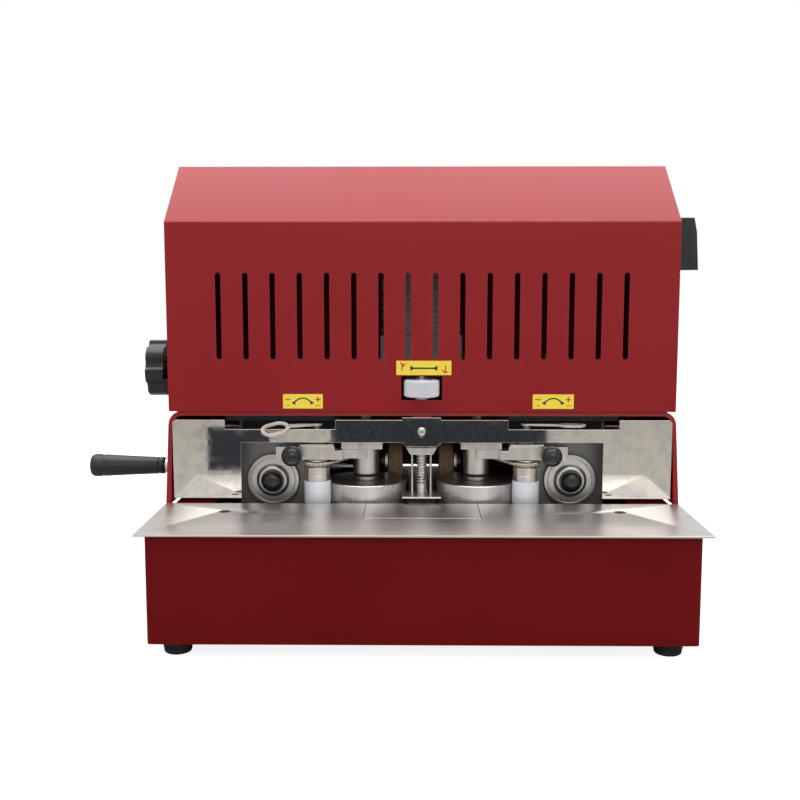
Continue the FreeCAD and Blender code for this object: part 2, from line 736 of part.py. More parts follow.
def wheel_set(word, side):
    """The edge-inking wheel on its spindle, and the jackshaft that its gear drives."""
    wheel = wheel_centre(side)
    jack = jack_centre(side)
    r = S.wheel_r
    low, top = S.wheel_low, S.wheel_top
    disc = turned([
        (0, low), (r - 1, low), (r, low + 1), (r, top - 0.8), (r - 0.8, top),
        (12, top), (12, S.stem_low - 0.8),
        (0, S.stem_low - 0.8)], "z", wheel)
    spindle = rod("z", S.spindle_r, (S.stem_low - 2, S.pulley_low + S.pulley_tall), wheel)
    pulley = grooved_pulley(S.pulley_r, S.pulley_low, S.pulley_tall, wheel)
    towards_jack = math.degrees(math.atan2(S.jack_back.value, side * S.jack_out.value))
    sub_part(f"ink_wheel_{word}", fuse(disc, spindle, gear(S.jack_teeth, wheel, towards_jack), pulley))
    half_tooth = 180 / S.jack_teeth.value
    shaft = rod("z", S.jack_r, (S.jack_low, S.gear_low + S.gear_thick + 1), jack)
    drum = grooved_pulley(7, S.jack_low, 6.6, jack)
    jack_gear = gear(S.jack_teeth, jack, towards_jack + 180 + half_tooth)
    sub_part(f"jackshaft_{word}", fuse(shaft, jack_gear, drum))


def loop(first, first_r, second, second_r, z, wire_r):
    """A round belt that runs tight about two pulleys."""
    start = Vector(first[0].value, first[1].value, z.value)
    end = Vector(second[0].value, second[1].value, z.value)
    away = end - start
    heading = math.atan2(away.y, away.x)
    lean = math.acos((first_r.value - second_r.value) / away.Length)

    def touch(centre, radius, angle):
        return centre + Vector(radius.value * math.cos(angle), radius.value * math.sin(angle), 0)

    one_side, other_side = heading + lean, heading - lean
    far_round = Part.Arc(touch(end, second_r, one_side), touch(end, second_r, heading),
                         touch(end, second_r, other_side))
    near_round = Part.Arc(touch(start, first_r, other_side), touch(start, first_r, heading + math.pi),
                          touch(start, first_r, one_side))
    path = Part.Wire([
        Part.LineSegment(touch(start, first_r, one_side), touch(end, second_r, one_side)).toShape(),
        far_round.toShape(),
        Part.LineSegment(touch(end, second_r, other_side), touch(start, first_r, other_side)).toShape(),
        near_round.toShape()])
    begin = touch(start, first_r, one_side)
    ring = Part.Wire(Part.Circle(begin, touch(end, second_r, one_side) - begin, wire_r.value).toShape())
    feature = doc.addObject("Part::Feature", "loop")
    feature.Shape = path.makePipeShell([ring], True, False)
    return put(feature, (0, 0, 0))


def belts(word, side):
    """The drive belt to the wheel's spindle, and the coiled spring belt to the roller."""
    wheel = wheel_centre(side)
    drive_centre = (side * S.drive_teeth * S.gear_module / 2, S.motor_y)
    middle = S.pulley_low + S.pulley_tall / 2
    round_r = S.pulley_r
    sub_part(f"drive_belt_{word}", loop(drive_centre, round_r, wheel, round_r, middle, S.belt_r))
    jack = jack_centre(side)
    roller = (side * S.roller_x, S.roller_y)
    spring_z = S.jack_low + 3.3
    sub_part(f"spring_belt_{word}", loop(jack, as_size(7), roller, as_size(11.5), spring_z, S.belt_r))


def arm_set(word, side):
    """The swinging arm on its pin, its ball knob, and the roller with its metal pulley."""
    pin = (side * S.arm_pin_x, S.arm_pin_y)
    axle = (side * S.roller_x, S.roller_y)
    depth = (S.arm_front, S.arm_back)
    thin = block((side * S.arm_in, side * S.arm_step), (S.arm_front + 7, S.arm_back + 6),
                 (S.arm_low, S.arm_thin_top))
    thick = block((side * (S.arm_step - 8), side * S.arm_out), depth, (S.arm_low, S.arm_thin_top))
    head = block((side * S.arm_step, side * S.arm_out), depth, (S.arm_thin_top, S.arm_top))
    strap = block((side * (S.arm_step + 1), side * 118), (S.arm_front - 1, S.arm_back),
                  (S.arm_top, S.arm_top + 2.4))
    pivot = rod("z", 2.5, (S.arm_low + 1, S.hanger_top), pin)
    stub = rod("z", 3, (S.roller_low + 1, S.arm_low + 1), axle)
    sub_part(f"roller_arm_{word}", fuse(thin, thick, head, strap, pivot, stub))
    ball = doc.addObject("Part::Sphere", "ball")
    ball.setExpression("Radius", S.ball_r.text)
    put(ball, (side * S.ball_x, S.ball_y, S.ball_z))
    flat = block((side * (S.ball_x - 15), side * (S.ball_x + 15)), (S.arm_front, S.arm_front + 9), (30, 60))
    sub_part(f"ball_knob_{word}", cut(ball, flat))
    bore_r = 3 + FIT
    roller_r = S.roller_r
    sub_part(f"ink_roller_{word}", turned([
        (bore_r, S.roller_low), (roller_r - 1, S.roller_low), (roller_r, S.roller_low + 1),
        (roller_r, S.roller_top),
        (bore_r, S.roller_top)], "z", axle))
    drum_r = roller_r - 0.7
    groove = S.jack_low + 3.3
    shallow = 11.5 - S.belt_r.value - 0.1
    sub_part(f"roller_pulley_{word}", turned([
        (bore_r, S.roller_top), (drum_r, S.roller_top), (drum_r, groove - 3.2), (shallow, groove - 2.4),
        (shallow, groove + 2.4), (drum_r - 1.5, groove + 3.2), (drum_r - 1.5, S.roller_pulley_top),
        (bore_r, S.roller_pulley_top)], "z", axle))


def dial_set(word, side):
    """The round dial on the carriage's front face, and its black domed cap."""
    centre = (side * S.dial_x, S.dial_z)
    back = S.block_front - NEAR
    front = back - 6
    ring_front = front - 5
    sub_part(f"dial_{word}", turned([
        (0, back + 18), (5, back + 18), (5, back), (S.dial_r, back),
        (S.dial_r, front + 0.8), (S.dial_r - 0.8, front),
        (S.dial_ring_r, front), (S.dial_ring_r - 3, ring_front), (0, ring_front)], "y", centre))
    cap_r = S.dial_cap_r
    sub_part(f"dial_cap_{word}", turned([
        (0, ring_front), (cap_r, ring_front), (cap_r, ring_front - 3), (cap_r * 0.8, ring_front - 7),
        (cap_r * 0.45, ring_front - 9), (0, ring_front - 9.6)], "y", centre))


def oval(radius, reach, half_thick):
    """A flat plate with round ends, lying on the XY plane."""
    span = (-half_thick, half_thick)
    return fuse(block((-reach, reach), (-radius, radius), span),
                rod("z", radius, span, (-reach, 0)), rod("z", radius, span, (reach, 0)))


def less_more_levers():
    """The black mounts under the arch and the flat ring levers that swing on their pins."""
    top = S.arch_top - S.arch_plate
    mounts = []
    for word, side in SIDES:
        hanger = block((side * 84, side * 190), (144.5, 160), (S.lever_low + 5, top))
        back = block((side * 84, side * 176), (157.5, 160), (62, S.lever_low + 5))
        pin = rod("z", 2.5, (S.lever_low - 1, S.lever_low + 5), (side * S.lever_x, S.lever_y))
        mounts.append(fuse(hanger, back, pin))
    sub_part("lever_mounts", group(*mounts))
    for (word, side), lean, droop in zip(SIDES, (28, 7), (25, 0)):
        low, high = S.lever_low, S.lever_low + S.lever_thick
        ring_reach, neck_reach = 43, 31
        angle = math.radians(lean)
        ring = (side * (S.lever_x + ring_reach * math.cos(angle)), S.lever_y - ring_reach * math.sin(angle))
        neck = (side * (S.lever_x + neck_reach * math.cos(angle)), S.lever_y - neck_reach * math.sin(angle))
        across = (side * 5 * math.sin(angle), 5 * math.cos(angle))
        stem = extruded("XY_Plane", [[
            (side * S.lever_x - across[0], S.lever_y - across[1]),
            (neck[0] - across[0], neck[1] - across[1]),
            (neck[0] + across[0], neck[1] + across[1]),
            (side * S.lever_x + across[0], S.lever_y + across[1])]], (low, high))
        half_thick = S.lever_thick / 2
        finger_ring = cut(oval(10.5, 3.5, half_thick), oval(7, 3.5, S.lever_thick))
        drop = 2.0 if droop else 0.0
        turn = Rotation(Vector(1, 0, 0), droop) * Rotation(Vector(0, 0, 1), -side * lean)
        put(finger_ring, (ring[0], ring[1], low + half_thick - drop), turn)
        eye = rod("z", 5.5, (low, high), (side * S.lever_x, S.lever_y))
        bore = rod("z", 2.5 + FIT, (low - 1, high + 1), (side * S.lever_x, S.lever_y))
        sub_part(f"ring_lever_{word}", cut(fuse(stem, eye, finger_ring), bore))


def hold_down():
    """The threaded height rod with its spring seat, the sprung foot, and the thumb wheel."""
    centre = (0, S.rod_y)
    rod_low = 21
    shank = rod("z", S.rod_r, (rod_low, 126), centre)
    tip = rod("z", 2.5, (12.4, rod_low), centre)
    seat = extruded("XZ_Plane", [[(-15, S.seat_top), (-11, S.seat_low), (11, S.seat_low), (15, S.seat_top)]],
                    (S.rod_y - 9, S.rod_y + 9))
    pin_places = [(side * 9, S.rod_y + 4) for word, side in SIDES]
    pin_bores = [rod("z", 1.2 + FIT, (S.seat_low - 1, S.seat_top + 1), place) for place in pin_places]
    sub_part("height_rod", cut(fuse(seat, shank, tip), *pin_bores))
    low, top = S.foot_plate_low, S.foot_plate_top
    half = S.foot_plate_half
    plate = extruded("XY_Plane", [[
        (-half, 126.5), (half, 126.5), (half, 147), (11.5, 162), (-11.5, 162), (-half, 147)]], (low, top))
    hub = rod("z", 4.1, (top, 14.5), centre)
    pins = [rod("z", 1.2, (top, S.seat_top + 2), place) for place in pin_places]
    heads = [rod("z", 2, (S.seat_top + NEAR, S.seat_top + 2), place) for place in pin_places]
    blind = rod("z", 2.5 + FIT, (top, 15), centre)
    sub_part("hold_down_foot", cut(fuse(plate, hub, *pins, *heads), blind))
    helix = doc.addObject("Part::Helix", "coils")
    helix.setExpression("Radius", S.spring_r.text)
    helix.setExpression("Height", (S.seat_low - top - 2 * S.spring_wire).text)
    helix.Pitch = 6
    wire = doc.addObject("Part::Circle", "wire")
    wire.setExpression("Radius", S.spring_wire.text)
    wire.Placement = Placement(Vector(), Rotation(Vector(1, 0, 0), 90))
    wire.setExpression(".Placement.Base.x", S.spring_r.text)
    spring = doc.addObject("Part::Sweep", "spring")
    spring.Sections = [wire]
    spring.Spine = (helix, [])
    spring.Solid = True
    spring.Frenet = True
    put(spring, (0, S.rod_y, top + S.spring_wire))
    sub_part("foot_spring", spring)
    wheel = rod("z", S.thumb_r, (S.thumb_low, S.thumb_top), centre)
    hub = rod("z", 6, (S.arch_top, S.thumb_low), centre)
    bore = rod("z", S.rod_r + FIT, (S.arch_top - 1, S.thumb_top + 1), centre)
    sub_part("thumb_wheel", cut(fuse(wheel, hub), bore))


def press_unit():
    """The rear press wheels in their yoke, the posts, and the lift lever with its grip."""
    axle = (S.press_y, S.press_z)
    pivot = (S.yoke_y, S.yoke_z)
    axle_half = 50
    arms = []
    for word, side in SIDES:
        span = (side * 50, side * 57)
        arm = extruded("YZ_Plane", [[
            (S.press_y - 8, S.press_z - 7), (S.press_y + 7, S.press_z - 9), (S.yoke_y + 8, S.yoke_z - 8),
            (S.yoke_y + 8, S.yoke_z + 8), (S.yoke_y - 8, S.yoke_z + 8),
            (S.press_y - 8, S.press_z + 8)]], span)
        arms.append(arm)
    bar = rod("x", 5, (-50, 50), (S.yoke_y - 4, S.yoke_z))
    lug = block((-57, -74), (S.lift_y - 5, S.press_y - 2), (S.lift_z + 6 + NEAR, S.lift_z + 12))
    stubs = [rod("x", 4, (side * 57, side * 66), pivot) for word, side in SIDES]
    spindle = rod("x", 4, (-axle_half, axle_half), axle)
    sub_part("press_yoke", fuse(*arms, bar, lug, *stubs, spindle))
    wheels = []
    for word, side in SIDES:
        tread = rod("x", S.press_r, (side * 19, side * 34), axle)
        flange = rod("x", S.press_r - 2, (side * 34, side * 42), axle)
        wheels.append(cut(fuse(tread, flange), rod("x", 4 + FIT, (side * 18, side * 43), axle)))
    sub_part("press_wheels", group(*wheels))
    posts = [cut(block((side * 58, side * 67), (S.yoke_y - 8, S.yoke_y + 8), (-S.table_thick, S.yoke_z + 10)),
                 rod("x", 4 + FIT, (side * 56, side * 68), pivot)) for word, side in SIDES]
    sub_part("yoke_posts", group(*posts))
    lever_centre = (S.lift_y, S.lift_z)
    bar = rod("x", 6, (S.grip_neck, -60), lever_centre)
    trunnion = rod("y", 3, (S.lift_y, S.lift_y + 14), (S.lift_pin_x, S.lift_z))
    sub_part("lift_lever", fuse(bar, trunnion))
    tip, neck = S.grip_tip, S.grip_neck
    sub_part("lever_grip", turned([
        (0, tip), (10.2, tip), (11.8, tip + 2), (11.8, tip + 10), (8.8, neck - 3), (8.8, neck), (0, neck)],
        "x", lever_centre))
    ear = block((S.lift_pin_x - 8, S.lift_pin_x + 8), (S.lift_y + 8, S.lift_y + 14), (2.5, S.lift_z + 9))
    pin_hole = rod("y", 3 + FIT, (S.lift_y + 7, S.lift_y + 15), (S.lift_pin_x, S.lift_z))
    sub_part("lever_bracket", cut(ear, pin_hole))


def write_parts():
    """Checks every object of the document, then writes each sub-part as a STEP file."""
    doc.recompute()
    for obj in doc.Objects:
        if {"Invalid", "Error"} & set(obj.State):
            raise RuntimeError(f"{obj.Label} did not recompute: {obj.State}")
    for part in sub_parts:
        if part.Shape.isNull() or not part.Shape.isValid():
            raise RuntimeError(f"{part.Label} has no valid shape")
    os.makedirs("parts", exist_ok=True)
    for part in sub_parts:
        part.Shape.exportStep(f"parts/{part.Label}.step")
        box = part.Shape.BoundBox
        print(f"{part.Label:20s} {len(part.Shape.Solids)} solids  {part.Shape.Volume:12.1f} mm3  "
              f"x {box.XMin:7.1f} {box.XMax:7.1f}  y {box.YMin:7.1f} {box.YMax:7.1f}  "
               f"z {box.ZMin:7.1f} {box.ZMax:7.1f}")
    print(len(sub_parts), "sub-parts")


base_and_table()
arch()
guard()
housing()
switch()
drive()
width_adjustment()
for word, side in SIDES:
    carriage(word, side)
    wheel_set(word, side)
    belts(word, side)
    arm_set(word, side)
    dial_set(word, side)
less_more_levers()
hold_down()
press_unit()
write_parts()
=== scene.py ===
import json
import math

import bmesh
import bpy
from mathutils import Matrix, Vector

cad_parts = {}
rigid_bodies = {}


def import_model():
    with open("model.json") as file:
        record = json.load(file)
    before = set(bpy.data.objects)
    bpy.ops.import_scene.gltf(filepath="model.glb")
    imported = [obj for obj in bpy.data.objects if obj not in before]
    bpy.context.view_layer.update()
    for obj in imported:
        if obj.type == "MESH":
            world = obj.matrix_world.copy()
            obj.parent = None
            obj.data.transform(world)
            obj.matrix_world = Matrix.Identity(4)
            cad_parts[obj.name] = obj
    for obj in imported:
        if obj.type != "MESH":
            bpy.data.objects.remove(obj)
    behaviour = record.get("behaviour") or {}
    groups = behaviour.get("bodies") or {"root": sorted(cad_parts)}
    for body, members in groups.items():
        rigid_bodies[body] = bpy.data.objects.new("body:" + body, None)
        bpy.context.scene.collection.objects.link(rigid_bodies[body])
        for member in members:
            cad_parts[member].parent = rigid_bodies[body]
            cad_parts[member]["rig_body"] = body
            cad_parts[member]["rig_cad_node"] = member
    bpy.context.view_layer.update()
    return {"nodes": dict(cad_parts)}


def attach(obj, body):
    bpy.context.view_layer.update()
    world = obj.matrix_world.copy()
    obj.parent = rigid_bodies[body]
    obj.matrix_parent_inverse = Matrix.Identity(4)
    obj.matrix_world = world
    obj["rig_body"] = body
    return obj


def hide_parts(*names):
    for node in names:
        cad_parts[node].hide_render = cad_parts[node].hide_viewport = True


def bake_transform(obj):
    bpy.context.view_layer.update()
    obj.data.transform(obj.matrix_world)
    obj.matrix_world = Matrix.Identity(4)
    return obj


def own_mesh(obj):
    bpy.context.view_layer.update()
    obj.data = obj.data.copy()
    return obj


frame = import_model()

# A bench-top machine that inks both edges of a leather strap. It is put together from the ground up:
# base, table, arch, guard, housing, drive, carriages, and last the pieces that the operator's hands use.

# ---- Studio -------------------------------------------------------------------------------------------
# A pale floor under white paper light, with a long soft lamp overhead and a weaker one in front. Two mottled
# dark cards stand out of view in front, so that the polished guard has something dark to show.
MM = 0.001


def spot(x, y, z):
    """A place given in millimetres from the strap's middle line, the table's front edge and its top."""
    return Vector((x + 37, y - 170, z + 110.5)) * MM


def only(piece):
    """Leaves one piece selected and active."""
    bpy.ops.object.select_all(action="DESELECT")
    piece.select_set(True)
    bpy.context.view_layer.objects.active = piece


def named(name):
    """The object that the last operator added, under its proper name."""
    piece = bpy.context.object
    piece.name = name
    return piece


class Signal:
    """One output of a shader node. Python's + and * on it add the Math nodes."""

    def __init__(self, finish, socket):
        self.finish = finish
        self.socket = socket

    def maths(self, operation, *values):
        return self.finish.node("ShaderNodeMath", {"operation": operation}, dict(enumerate(values)))

    def __add__(self, other):
        return self.maths("ADD", self, other)

    def __mul__(self, other):
        return self.maths("MULTIPLY", self, other)


class Finish:
    """A surface finish: one Principled shader and the nodes that vary it."""

    def __init__(self, name, fixed):
        self.material = bpy.data.materials.new(name)
        self.material.use_nodes = True
        self.tree = self.material.node_tree
        self.shader = self.tree.nodes["Principled BSDF"]
        for socket, value in fixed.items():
            self.shader.inputs[socket].default_value = value

    def node(self, kind, settings=None, values=None, output=0):
        """Adds any node: its settings first, then the values or links of its sockets."""
        made = self.tree.nodes.new(kind)
        for name, value in (settings or {}).items():
            setattr(made, name, value)
        for socket, value in (values or {}).items():
            self.join(value, made.inputs[socket])
        return Signal(self, made.outputs[output])

    def join(self, value, socket):
        if isinstance(value, Signal):
            self.tree.links.new(value.socket, socket)
        else:
            socket.default_value = value

    def noise(self, cells, detail=2.0):
        """Noise with so many cells a metre along X, Y and Z, from 0 to 1."""
        place = self.node("ShaderNodeTexCoord", output="Object")
        stretched = self.node("ShaderNodeMapping", {}, {"Vector": place, "Scale": cells})
        return self.node("ShaderNodeTexNoise", {}, {"Vector": stretched, "Scale": 1.0, "Detail": detail})

    def sharp(self, signal, low, high):
        """0 below low, 1 above high."""
        return self.node("ShaderNodeMapRange", {}, {0: signal, 1: low, 2: high})

    def blend(self, factor, first, second):
        """A colour between two colours."""
        return self.node("ShaderNodeMix", {"data_type": "RGBA"}, {0: factor, 6: first, 7: second}, output=2)

    def wear(self, radius):
        """1 along edges that point outwards or inwards, over so many millimetres, and 0 on flats."""
        eased = self.node("ShaderNodeBevel", {"samples": 4}, {"Radius": radius * MM})
        true = self.node("ShaderNodeNewGeometry", output="True Normal")
        same = self.node("ShaderNodeVectorMath", {"operation": "DOT_PRODUCT"}, {0: eased, 1: true},
                         output="Value")
        return self.sharp(same, 0.985, 0.80)

    def relief(self, height, depth, strength):
        """Bumps so many millimetres high."""
        bumped = self.node("ShaderNodeBump", {},
                           {"Height": height, "Distance": depth * MM, "Strength": strength})
        self.join(bumped, self.shader.inputs["Normal"])

    def use(self, **signals):
        """Links signals to the shader: color or roughness."""
        sockets = {"color": "Base Color", "roughness": "Roughness"}
        for name, signal in signals.items():
            self.join(signal, self.shader.inputs[sockets[name]])
        return self


def colour(red, green, blue):
    return (red, green, blue, 1.0)


scene = bpy.context.scene
scene.view_settings.view_transform = "Standard"
lens = bpy.data.cameras.new("eye")
lens.lens = 47.23
eye = bpy.data.objects.new("eye", lens)
eye.location = (0.0275, -1.0314, 0.3288)
eye.rotation_euler = (math.radians(83.147), 0, math.radians(0.65))
scene.collection.objects.link(eye)
scene.camera = eye

paper = Finish("paper floor",
               {"Base Color": colour(0.34, 0.33, 0.31), "Roughness": 0.9, "Emission Strength": 1.0})
looked_at = paper.node("ShaderNodeLightPath")
paper.join(paper.blend(looked_at, colour(0, 0, 0), colour(0.86, 0.86, 0.86)),
           paper.shader.inputs["Emission Color"])
paper.use(roughness=paper.noise((30, 30, 30)) * 0.1 + 0.85)
bpy.ops.object.select_all(action="DESELECT")
just_below_feet = -0.3 * MM
bpy.ops.mesh.primitive_plane_add(size=14, location=(0, 3, just_below_feet))
floor = named("floor")
floor.data.materials.append(paper.material)

dark_card = Finish("dark card", {"Roughness": 0.9, "Specular IOR Level": 0.0})
mottle = dark_card.noise((60, 60, 60), 5.0)
dark_card.use(color=dark_card.blend(dark_card.sharp(mottle, 0.4, 0.75), colour(0.010, 0.014, 0.026),
                                    colour(0.10, 0.105, 0.12)), roughness=mottle * 0.1 + 0.85)
card_front = -0.779
upright = (math.radians(90), 0, 0)
for name, across, wide, tall in (("wide_card", 0.073, 0.362, 0.10), ("tall_card", -0.263, 0.105, 0.074)):
    bpy.ops.mesh.primitive_plane_add(size=1, location=(across, card_front, tall / 2), rotation=upright)
    card = named(name)
    card.scale = (wide, tall, 1)
    card.visible_camera = False
    card.visible_diffuse = False
    card.data.materials.append(dark_card.material)

sky = bpy.data.worlds.new("white paper")
scene.world = sky
sky.use_nodes = True
sky_nodes = sky.node_tree.nodes
sky_links = sky.node_tree.links
for kind, strength in (("seen", 1.0), ("lighting", 0.72)):
    shine = sky_nodes.new("ShaderNodeBackground")
    shine.name = kind
    shine.inputs["Color"].default_value = colour(1, 1, 1)
    shine.inputs["Strength"].default_value = strength
path = sky_nodes.new("ShaderNodeLightPath")
either = sky_nodes.new("ShaderNodeMixShader")
sky_links.new(path.outputs["Is Camera Ray"], either.inputs[0])
sky_links.new(sky_nodes["lighting"].outputs[0], either.inputs[1])
sky_links.new(sky_nodes["seen"].outputs[0], either.inputs[2])
sky_links.new(either.outputs[0], sky_nodes["World Output"].inputs["Surface"])

for name, place, aim, wide, deep, watts in (
        ("top_lamp", (0.0, 0.25, 1.65), (0, 0.1, 0.3), 2.4, 1.6, 43),
        ("front_lamp", (0.5, -2.4, 1.8), (0, 0, 0.2), 2.4, 1.6, 19)):
    light = bpy.data.lights.new(name, "AREA")
    light.shape = "RECTANGLE"
    light.size = wide
    light.size_y = deep
    light.energy = watts
    lamp = bpy.data.objects.new(name, light)
    lamp.location = place
    lamp.rotation_euler = (Vector(aim) - Vector(place)).to_track_quat("-Z", "Y").to_euler()
    scene.collection.objects.link(lamp)

# ---- Base ---------------------------------------------------------------------------------------------
# An open box folded from 1.5 mm steel sheet, welded at the corners and powder coated dark red, with a floor
# plate let in from below. Its red is the housing's red made darker, as painted shade.


def softened(node, width, segments=2):
    """A copy of a machined node, its triangles joined into faces and its edges rounded by millimetres."""
    source = frame["nodes"][node]
    piece = source.copy()
    piece.data = source.data.copy()
    piece.parent = None
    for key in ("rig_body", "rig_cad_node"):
        del piece[key]
    piece.data.materials.clear()
    piece.name = node + "_finished"
    scene.collection.objects.link(piece)
    only(piece)
    bpy.ops.mesh.customdata_custom_splitnormals_clear()
    bpy.ops.object.mode_set(mode="EDIT")
    bpy.ops.mesh.select_all(action="SELECT")
    bpy.ops.mesh.remove_doubles(threshold=0.01 * MM)
    bpy.ops.mesh.dissolve_limited(angle_limit=math.radians(0.5))
    bpy.ops.object.mode_set(mode="OBJECT")
    ease(piece, width, segments)
    return piece


def ease(piece, width, segments=2, angle=35):
    """Rounds a piece's edges by so many millimetres and shades it smooth."""
    only(piece)
    edge = piece.modifiers.new("edge", "BEVEL")
    edge.width = width * MM
    edge.segments = segments
    edge.limit_method = "ANGLE"
    edge.angle_limit = math.radians(angle)
    edge.harden_normals = True
    bpy.ops.object.shade_smooth_by_angle(angle=math.radians(angle))
    bpy.ops.object.modifier_apply(modifier=edge.name)


def fit(piece, body, slot, finish, *nodes):
    """Gives a piece its finish, its body and the nodes it stands for. The slot argument is not used."""
    if not piece.data.materials:
        piece.data.materials.append(finish.material)
    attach(piece, body)
    if nodes:
        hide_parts(*nodes)


def coat(finish, *nodes):
    """Gives machined nodes their finish."""
    for node in nodes:
        piece = frame["nodes"][node]
        if not piece.material_slots:
            piece.data.materials.append(finish.material)
        for place in piece.material_slots:
            place.material = finish.material


def powder_coat(name, dark, light, edge, shine, gloss):
    """Powder coat over steel: clouded colour, orange peel, and edges rubbed lighter."""
    paint = Finish(name,
                   {"IOR": 1.45, "Specular IOR Level": shine, "Coat Weight": gloss, "Coat Roughness": 0.14})
    cloud = paint.noise((9, 9, 9), 3.0)
    speck = paint.noise((700, 700, 700), 1.0)
    body = paint.blend(cloud, dark, light)
    paint.use(color=paint.blend(paint.wear(1.1) * 0.45, body, edge),
              roughness=cloud * 0.12 + speck * 0.06 + 0.34)
    paint.relief(speck, 0.05, 0.35)
    return paint


red_paint = powder_coat("red powder coat", colour(0.245, 0.007, 0.010), colour(0.285, 0.010, 0.014),
                        colour(0.38, 0.05, 0.05), 0.24, 0.09)
# The base's coat is a darker copy of the red paint: painted shade, not a different paint.
shade_darkened_base_paint = powder_coat("red powder coat darkened as painted shade on the base", colour(0.140, 0.004, 0.005),
                         colour(0.170, 0.006, 0.007), colour(0.26, 0.03, 0.03), 0.08, 0.0)
base = softened("base_box", 0.6)
fit(base, "machine", "red_paint", shade_darkened_base_paint, "base_box")
base_floor = softened("base_floor", 0.4)
fit(base_floor, "machine", "red_paint", shade_darkened_base_paint, "base_floor")

# ---- Feet ---------------------------------------------------------------------------------------------
# Four moulded rubber feet, 28 mm across, each screwed up through a washer in its hollow underside.


def lathe(name, rings, sides):
    """Turns a piece about Z from rings of (radius, height) in millimetres, first cap to last cap."""
    radius, height = rings[0]
    bpy.ops.object.select_all(action="DESELECT")
    bpy.ops.mesh.primitive_circle_add(vertices=sides, radius=radius * MM, fill_type="NGON",
                                      location=(0, 0, height * MM))
    piece = named(name)
    bpy.ops.object.transform_apply(location=True)
    bpy.ops.object.mode_set(mode="EDIT")
    bpy.ops.mesh.select_all(action="SELECT")
    for (old_radius, old_height), (radius, height) in zip(rings, rings[1:]):
        lift = (height - old_height) * MM
        bpy.ops.mesh.extrude_region_move(TRANSFORM_OT_translate={"value": (0, 0, lift)})
        grow = radius / old_radius
        bpy.ops.transform.resize(value=(grow, grow, 1), center_override=(0, 0, 0))
    bpy.ops.mesh.select_all(action="SELECT")
    bpy.ops.mesh.normals_make_consistent(inside=False)
    bpy.ops.object.mode_set(mode="OBJECT")
    return piece


TOWARDS = {"up": (0, 0, 0), "down": (180, 0, 0), "front": (90, 0, 0), "back": (-90, 0, 0),
           "right": (0, 90, 0), "left": (0, -90, 0)}


def stand(piece, place, facing="up"):
    """Turns a piece's top to face a way, sets it down at a place, and leaves its object at the origin."""
    only(piece)
    piece.rotation_euler = [math.radians(angle) for angle in TOWARDS[facing]]
    piece.location = place
    bpy.ops.object.transform_apply(location=True, rotation=True, scale=True)
    return piece


def copied(piece, name):
    """Another of the same piece, with its own mesh."""
    twin = piece.copy()
    twin.data = piece.data.copy()
    twin.name = name
    scene.collection.objects.link(twin)
    return twin


def set_of(name, pattern, places, facing="up"):
    """Copies of one piece at each place, joined as one set. The pattern itself is used up."""
    members = [stand(copied(pattern, name), place, facing) for place in places]
    bpy.data.objects.remove(pattern)
    only(members[0])
    for member in members:
        member.select_set(True)
    bpy.ops.object.join()
    return named(name)


def cross_cut(piece, top, reach, width, deep):
    """Cuts a cross recess into the top of a screw head standing at the origin."""
    for wide, long in ((width, reach), (reach, width)):
        bpy.ops.object.select_all(action="DESELECT")
        bpy.ops.mesh.primitive_cube_add(size=1, location=(0, 0, top * MM),
                                        scale=(wide * MM, long * MM, 2 * deep * MM))
        cutter = named("cutter")
        only(piece)
        notch = piece.modifiers.new("notch", "BOOLEAN")
        notch.object = cutter
        notch.solver = "EXACT"
        bpy.ops.object.modifier_apply(modifier=notch.name)
        bpy.data.objects.remove(cutter)


rubber = Finish("black rubber", {"Roughness": 0.6, "Specular IOR Level": 0.4})
dust = rubber.noise((160, 160, 160), 4.0)
rubber.use(color=rubber.blend(rubber.sharp(dust, 0.45, 0.8), colour(0.010, 0.010, 0.011),
                              colour(0.035, 0.033, 0.031)),
           roughness=dust * 0.25 + 0.45)
rubber.relief(dust, 0.08, 0.5)
zinc = Finish("bright zinc", {"Metallic": 1.0})
spangle = zinc.noise((240, 240, 240), 3.0)
zinc.use(color=zinc.blend(spangle, colour(0.50, 0.49, 0.46), colour(0.72, 0.70, 0.66)),
         roughness=spangle * 0.2 + 0.2)
zinc.relief(spangle, 0.02, 0.3)

foot_places = [spot(x, y, -110.5) for x in (-214.5, 214.5) for y in (27, 312)]
foot = lathe("foot", [(3.2, 7.6), (5.6, 7.6), (6.0, 0.3), (6.4, 0), (11.0, 0), (11.9, 0.9), (12.3, 3.4),
                      (12.1, 3.9), (12.5, 4.4), (13.3, 8.6), (13.9, 10.2), (14.0, 11.6), (13.4, 12)], 48)
ease(foot, 0.25)
feet = set_of("rubber_feet_moulded", foot, foot_places)
fit(feet, "machine", "black_rubber", rubber, "rubber_feet")
foot_screw = lathe("foot_screw", [(3.1, 0.6), (3.1, -0.6), (2.7, -1.3), (1.6, -1.6)], 32)
stand(foot_screw, (0, 0, 0), "down")
cross_cut(foot_screw, 1.6, 3.4, 0.7, 1.0)
foot_screws = set_of("foot_screws", foot_screw, [place + Vector((0, 0, 7.0 * MM)) for place in foot_places],
                     "down")
ease(foot_screws, 0.1)
fit(foot_screws, "machine", "bright_zinc", zinc)

